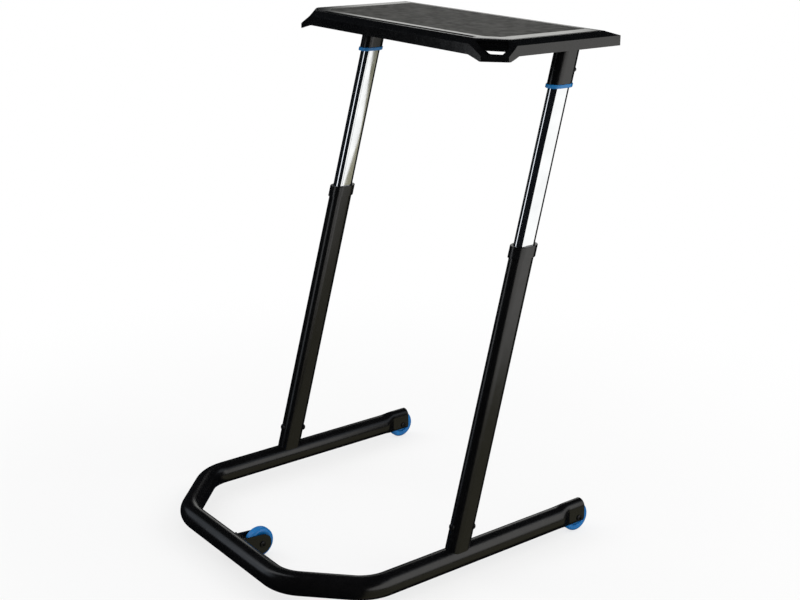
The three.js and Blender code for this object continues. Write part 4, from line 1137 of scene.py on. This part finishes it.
def grip_body(inset):
    """The loop's outside, or the space inside it when all its faces are set in by the wall."""
    rings = []
    for along in grip_stations():
        lip = between(LIP_FRONT, LIP_SIDE, along)
        slope = (lip - GRIP_LEAD) / (GRIP_DEPTH - LIP_HEIGHT - GRIP_TOP)
        lead = GRIP_LEAD - inset * math.hypot(1, slope)
        top = GRIP_TOP + inset
        crest = lead + slope * inset
        face = lip - inset
        knee = GRIP_TOP + (face - lead) / slope
        foot = GRIP_DEPTH + inset
        back = LOOP_BACK - inset
        section = [(back, top), (crest, top), (face, knee), (face, foot), (back, foot)]
        rings.append([at_corner(along, out, drop) for out, drop in section])
    return skin("grip_body", rings)


def under_grip():
    """The space below the loop, which rises from the foot of the lip to the skirt's bottom edge."""
    rings = []
    for along in grip_stations():
        root, foot = between(ROOT_FRONT, ROOT_SIDE, along), between(FOOT_FRONT, FOOT_SIDE, along)
        section = [
            (UNDER_BACK, SKIRT_DEPTH), (root, SKIRT_DEPTH), (foot, GRIP_DEPTH), (foot, UNDER_DEPTH),
            (UNDER_BACK, UNDER_DEPTH),
        ]
        rings.append([at_corner(along, out, drop) for out, drop in section])
    return skin("under_grip", rings)


def corner_space(inset):
    """What lies inside the fascia and bands on both sides of the corner."""
    front, side = DESK_FRONT - BAND_OUT + inset, DESK_HALF + BAND_OUT - inset
    body = block((0, front, DESK_TOP - 2 * SKIRT_DEPTH), (side, DESK_REAR, DESK_TOP))
    fall = (BAND_DROP - RIM_DROP) / BAND_OUT
    drop = RIM_DROP + inset * math.hypot(1, fall)
    low = DESK_TOP - drop - fall * (BAND_OUT - inset + SPACE_SPARE)
    high = DESK_TOP - drop + fall * CUT_REACH
    front_out, side_out = front - SPACE_SPARE, side + SPACE_SPARE
    above_front = skin("above_front", [
        [(x, front_out, low), (x, DESK_FRONT + CUT_REACH, high), (x, front_out, high)]
        for x in (-CUT_SPARE, side_out)
    ])
    above_side = skin("above_side", [
        [(side_out, y, low), (DESK_HALF - CUT_REACH, y, high), (side_out, y, high)]
        for y in (front_out, DESK_REAR + CUT_SPARE)
    ])
    return carve(body, above_front, above_side)


def round_corners(points, radius, steps=5):
    """An outline with each corner replaced by an even curve."""
    outline = []
    for i, point in enumerate(points):
        corner = Vector(point)
        before = (Vector(points[i - 1]) - corner).normalized() * radius
        after = (Vector(points[(i + 1) % len(points)]) - corner).normalized() * radius
        for step in range(steps + 1):
            share = step / steps
            outline.append(corner + before * (1 - share) ** 2 + after * share ** 2)
    return outline


def in_seam(point):
    return abs((point - CHAMFER_START).dot(CHAMFER_OUT) - GRIP_SEAM) < 0.02 * mm


def make_grips():
    grip = combine(grip_body(0), corner_space(0), "INTERSECT")
    grip.name = "moulded_grip_right"
    void = combine(grip_body(GRIP_WALL), corner_space(GRIP_WALL), "INTERSECT")
    outline = round_corners(
        [(along * CHAMFER_LENGTH, drop * GRIP_DEPTH) for along, drop in HAND_HOLE], HAND_HOLE_CORNER,
    )
    hole = skin("hand_hole", [[at_corner(point.x, out, point.y) for point in outline]
                              for out in (-20 * mm, 80 * mm)])
    behind = corner_block((-90 * mm, 170 * mm), (-40 * mm, GRIP_SEAM), (-20 * mm, 90 * mm))
    carve(grip, void, under_grip(), hole, behind)
    ease_edges(grip, 1 * mm, 3, 28, in_seam)
    fit_pair(grip, MOULDED_BLACK, "rising_desk", "corner_grip", 30)


make_grips()


# Screws. Pan-head screws with a cross recess hold the board down to the ledge from below, and two
# more go up through the inner edge of each plate.

SCREW_HEAD = 3.6 * mm
SCREW_HEIGHT = 2.2 * mm
SCREW_SLOT = 0.45 * mm
SCREW_SPACING = 120 * mm
SCREW_EDGE = 5.5 * mm
SCREW_TURN = 0.7


def screw_head():
    head = turned("screw_head", domed_head(SCREW_HEAD, 0, SCREW_HEIGHT) + [(0, 0)], (0, 0, 0), (0, 0, 1), 32)
    reach = SCREW_HEAD * 0.6
    for across, along in ((reach, SCREW_SLOT), (SCREW_SLOT, reach)):
        carve(head, block((-across, -along, SCREW_HEIGHT * 0.45), (across, along, SCREW_HEIGHT * 2)))
    return head


def make_screws():
    ledge = DESK_TOP - BOARD_THICKNESS - SKIRT_WALL - 2 * SEAM
    inset = RIM_WIDTH + LEDGE_WIDTH / 2
    spots = []
    for step in range(-2, 3):
        spots += [(step * SCREW_SPACING, y, ledge) for y in (DESK_FRONT + inset, DESK_REAR - inset)]
    plate_low, plate_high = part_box("mount_plate_right")
    plate_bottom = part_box("sleeve_right")[1][2] + SEAM
    for side in SIDES.values():
        for y in (plate_low[1] + 2 * SCREW_EDGE, plate_high[1] - SCREW_EDGE):
            spots.append((side * (plate_low[0] + SCREW_EDGE), y, plate_bottom))
    mesh = bpy.data.meshes.new("under_screws")
    mesh.from_pydata(spots, [], [])
    screws = new_piece("under_screws", mesh)
    head = screw_head()
    tree = Tree("screws_below", {"Head": head, "Turn": SCREW_TURN})
    shape = tree.step("GeometryNodeObjectInfo", "Geometry", Object=tree.given["Head"])
    turn = tree.step("ShaderNodeCombineXYZ", X=math.pi, Z=tree.given["Turn"])
    placed = tree.step(
        "GeometryNodeInstanceOnPoints", Points=tree.given["Geometry"], Instance=shape, Rotation=turn,
    )
    tree.grow(screws, placed, BLACK_STEEL)
    bpy.data.objects.remove(head)
    fit(screws, BLACK_STEEL, "rising_desk")


make_screws()


# Stage. A pale floor that fades into a white background, two soft lamps, and a room that polished
# and coated faces reflect as light walls and dark gaps.

FLOOR_REACH = 14.0
FLOOR_FADE = (0.7, 1.9)
FLOOR_COLOR = (0.8, 0.8, 0.8)
FLOOR_WHITE = 0.72
LAMPS = {
    "soft_lamp_rear_right": ((2.2, 2.6, 3.6), 2.6, 60, (1.0, 0.99, 0.97)),
    "soft_lamp_front_left": ((-3.0, -2.2, 3.2), 2.2, 30, (0.94, 0.97, 1.0)),
}

def sheet(name, corners):
    mesh = bpy.data.meshes.new(name)
    mesh.from_pydata(corners, [], [tuple(range(len(corners)))])
    return new_piece(name, mesh)


def lay_floor():
    reach = FLOOR_REACH
    floor = sheet("floor", [(-reach, -reach, 0), (reach, -reach, 0), (reach, reach, 0), (-reach, reach, 0)])
    paper = Surface("pale_floor")
    paper.shader.inputs["Base Color"].default_value = (*FLOOR_COLOR, 1)
    paper.shader.inputs["Roughness"].default_value = 0.9
    paper.shader.inputs["Specular IOR Level"].default_value = 0.1
    distance = paper.vector("LENGTH", paper.place)
    fade = paper.spread(distance, *FLOOR_FADE, FLOOR_WHITE, soft="SMOOTHSTEP")
    white = paper.step("ShaderNodeEmission", Color=(1, 1, 1, 1))
    share = paper.sum("MULTIPLY", fade, paper.step("ShaderNodeLightPath", "Is Camera Ray"))
    paper.show(paper.step("ShaderNodeMixShader", in0=share, in1=paper.shader.outputs["BSDF"], in2=white))
    floor.data.materials.append(paper.material)
    floor.visible_glossy = False


lay_floor()


class Sky(Graph):
    """The room's light by direction: white to the camera, light walls and dark gaps to glossy rays."""

    def __init__(self):
        world = bpy.data.worlds.new("room")
        bpy.context.scene.world = world
        world.use_nodes = True
        super().__init__(world.node_tree)
        self.tree.nodes.clear()
        place = self.step("ShaderNodeTexCoord", "Generated")
        self.height = self.spread(self.step("ShaderNodeSeparateXYZ", "Z", in0=place), -1, 1)
        self.heading = self.vector("NORMALIZE", self.vector("MULTIPLY", place, (1, 1, 0)))
        self.total = None

    def wall(self, start, end, heights, soft):
        """A light wall between two azimuths from +X, in degrees, with a colour at each elevation."""
        middle = math.radians((start + end) / 2)
        toward = self.vector("DOT_PRODUCT", self.heading, (math.cos(middle), math.sin(middle), 0))
        half = (end - start) / 2
        outer, inner = (math.cos(math.radians(half + edge)) for edge in (soft / 2, -soft / 2))
        mask = self.spread(toward, outer, inner, soft="SMOOTHSTEP")
        color, strength = self.light_ramp(
            self.height, heights, lambda elevation: (1 + math.sin(math.radians(elevation))) / 2,
        )
        light = self.vector("MULTIPLY", self.vector("MULTIPLY", color, (strength,) * 3), mask)
        self.total = self.vector("ADD", self.total, light) if self.total else light

    def choose(self, ray, otherwise, color):
        """The colour that rays of one kind see, and the rest otherwise."""
        kind = self.step("ShaderNodeLightPath", ray)
        return self.step("ShaderNodeMix", 2, {"data_type": "RGBA"}, Factor=kind, in6=otherwise, in7=color)

    def light(self, plain, dim):
        """White to the camera and through glass, the walls to glossy rays, an even light to the rest."""
        white = (1, 1, 1, 1)
        chosen = self.choose("Is Glossy Ray", (*plain, 1), self.vector("ADD", self.total, dim))
        chosen = self.choose("Is Transmission Ray", chosen, white)
        chosen = self.choose("Is Camera Ray", chosen, white)
        output = self.tree.nodes.new("ShaderNodeOutputWorld")
        self.tree.links.new(self.step("ShaderNodeBackground", Color=chosen), output.inputs["Surface"])


DARK = (0, 0, 0)
FLOOR_GLOW = (0.34, 0.32, 0.22)


def hang_sky():
    sky = Sky()
    sky.wall(-25, 62, [(-90, (0.2, 0.19, 0.12)), (-12, FLOOR_GLOW), (-2, DARK)], 8)
    sky.wall(20, 80, [(26, DARK), (30, (0.5, 0.54, 0.6)), (46, (0.5, 0.54, 0.6)), (50, DARK)], 10)
    sky.wall(-168, -120, [(13, DARK), (17, (0.5, 0.55, 0.62)), (38, (0.5, 0.55, 0.62)), (42, DARK)], 10)
    sky.wall(134, 144.2, [(3.5, DARK), (6, (0.98, 0.98, 0.95)), (20, (0.98, 0.98, 0.95)), (27, DARK)], 3)
    sky.light((0.9, 0.9, 0.9), (0.006, 0.007, 0.009))


hang_sky()

SIDE_CARD = [(1.05, 0.94, 0), (0.84, 1.09, 0.6), (0.78, 1.13, 1.34), (5.0, -1.9, 1.34), (5.0, -1.9, 0)]
SIDE_SLOPE = (0.122, -0.0875, 1)
SIDE_LEVELS = [(0.04, (0.34, 0.32, 0.22)), (0.1, (0.45, 0.44, 0.37)), (0.19, (1.15, 1.14, 1.1)),
               (0.35, (1.45, 1.43, 1.39)), (2, (1.45, 1.43, 1.39))]
FRONT_CARD = [(-0.4, -0.64, 0.12), (-0.18, -0.74, 0.12), (-0.18, -0.74, 1.9), (-0.4, -0.64, 1.9)]
FRONT_LEVELS = [(0.3, (0.7, 0.76, 0.85)), (0.6, (1.4, 1.44, 1.5)), (1.9, (1.4, 1.44, 1.5))]


def stand_card(name, corners, slope, levels):
    """A glowing card beside the desk that only polished faces show, brighter along its slope."""
    card = sheet(name, corners)
    paper = Surface(name)
    top = levels[-1][0]
    share = paper.sum("DIVIDE", paper.vector("DOT_PRODUCT", paper.place, slope), top)
    color, strength = paper.light_ramp(share, levels, lambda height: height / top)
    paper.show(paper.step("ShaderNodeEmission", Color=color, Strength=strength))
    card.data.materials.append(paper.material)
    for rays in ("camera", "diffuse", "transmission", "shadow", "volume_scatter"):
        setattr(card, f"visible_{rays}", False)


stand_card("side_card", SIDE_CARD, SIDE_SLOPE, SIDE_LEVELS)
stand_card("front_card", FRONT_CARD, (0, 0, 1), FRONT_LEVELS)


def hang_lamps():
    for name, (place, size, power, color) in LAMPS.items():
        lamp = bpy.data.lights.new(name, "AREA")
        lamp.shape, lamp.size = "SQUARE", size
        lamp.energy, lamp.color = power, color
        holder = bpy.data.objects.new(name, lamp)
        holder.location = place
        holder.rotation_euler = (Vector((0, 0, 0.5)) - Vector(place)).to_track_quat("-Z", "Y").to_euler()
        holder.visible_glossy = False
        bpy.context.scene.collection.objects.link(holder)


hang_lamps()


# Camera. It stands where the photograph was taken from, looking down a little, and its frame is
# shifted upwards off the lens's centre.

CAMERA_PLACE = (2.5182, -1.8713, 1.6095)
CAMERA_YAW = math.radians(52.02)
CAMERA_PITCH = math.radians(14.5)
CAMERA_ROLL = math.radians(0.62)
FRAME_WIDTH, FRAME_HEIGHT = 800, 600
FOCAL_PIXELS = 1387.79
CENTRE_PIXEL = (401.41, 205.73)
SENSOR = 36.0


def set_camera():
    yaw, pitch, roll = CAMERA_YAW, CAMERA_PITCH, CAMERA_ROLL
    ahead = Vector((-math.sin(yaw) * math.cos(pitch), math.cos(yaw) * math.cos(pitch), -math.sin(pitch)))
    right = ahead.cross(Vector((0, 0, 1))).normalized()
    above = right.cross(ahead)
    tilted_right = right * math.cos(roll) + above * math.sin(roll)
    tilted_above = above * math.cos(roll) - right * math.sin(roll)
    camera = bpy.data.cameras.new("camera")
    camera.sensor_width, camera.sensor_fit = SENSOR, "HORIZONTAL"
    camera.lens = FOCAL_PIXELS * SENSOR / FRAME_WIDTH
    camera.shift_x = (FRAME_WIDTH / 2 - CENTRE_PIXEL[0]) / FRAME_WIDTH
    camera.shift_y = (CENTRE_PIXEL[1] - FRAME_HEIGHT / 2) / FRAME_WIDTH
    camera.clip_end = 100
    holder = bpy.data.objects.new("camera", camera)
    facing = Matrix((tilted_right, tilted_above, -ahead)).transposed()
    holder.matrix_world = Matrix.Translation(CAMERA_PLACE) @ facing.to_4x4()
    bpy.context.scene.collection.objects.link(holder)
    bpy.context.scene.camera = holder


set_camera()
bpy.context.scene.view_settings.view_transform = "Standard"
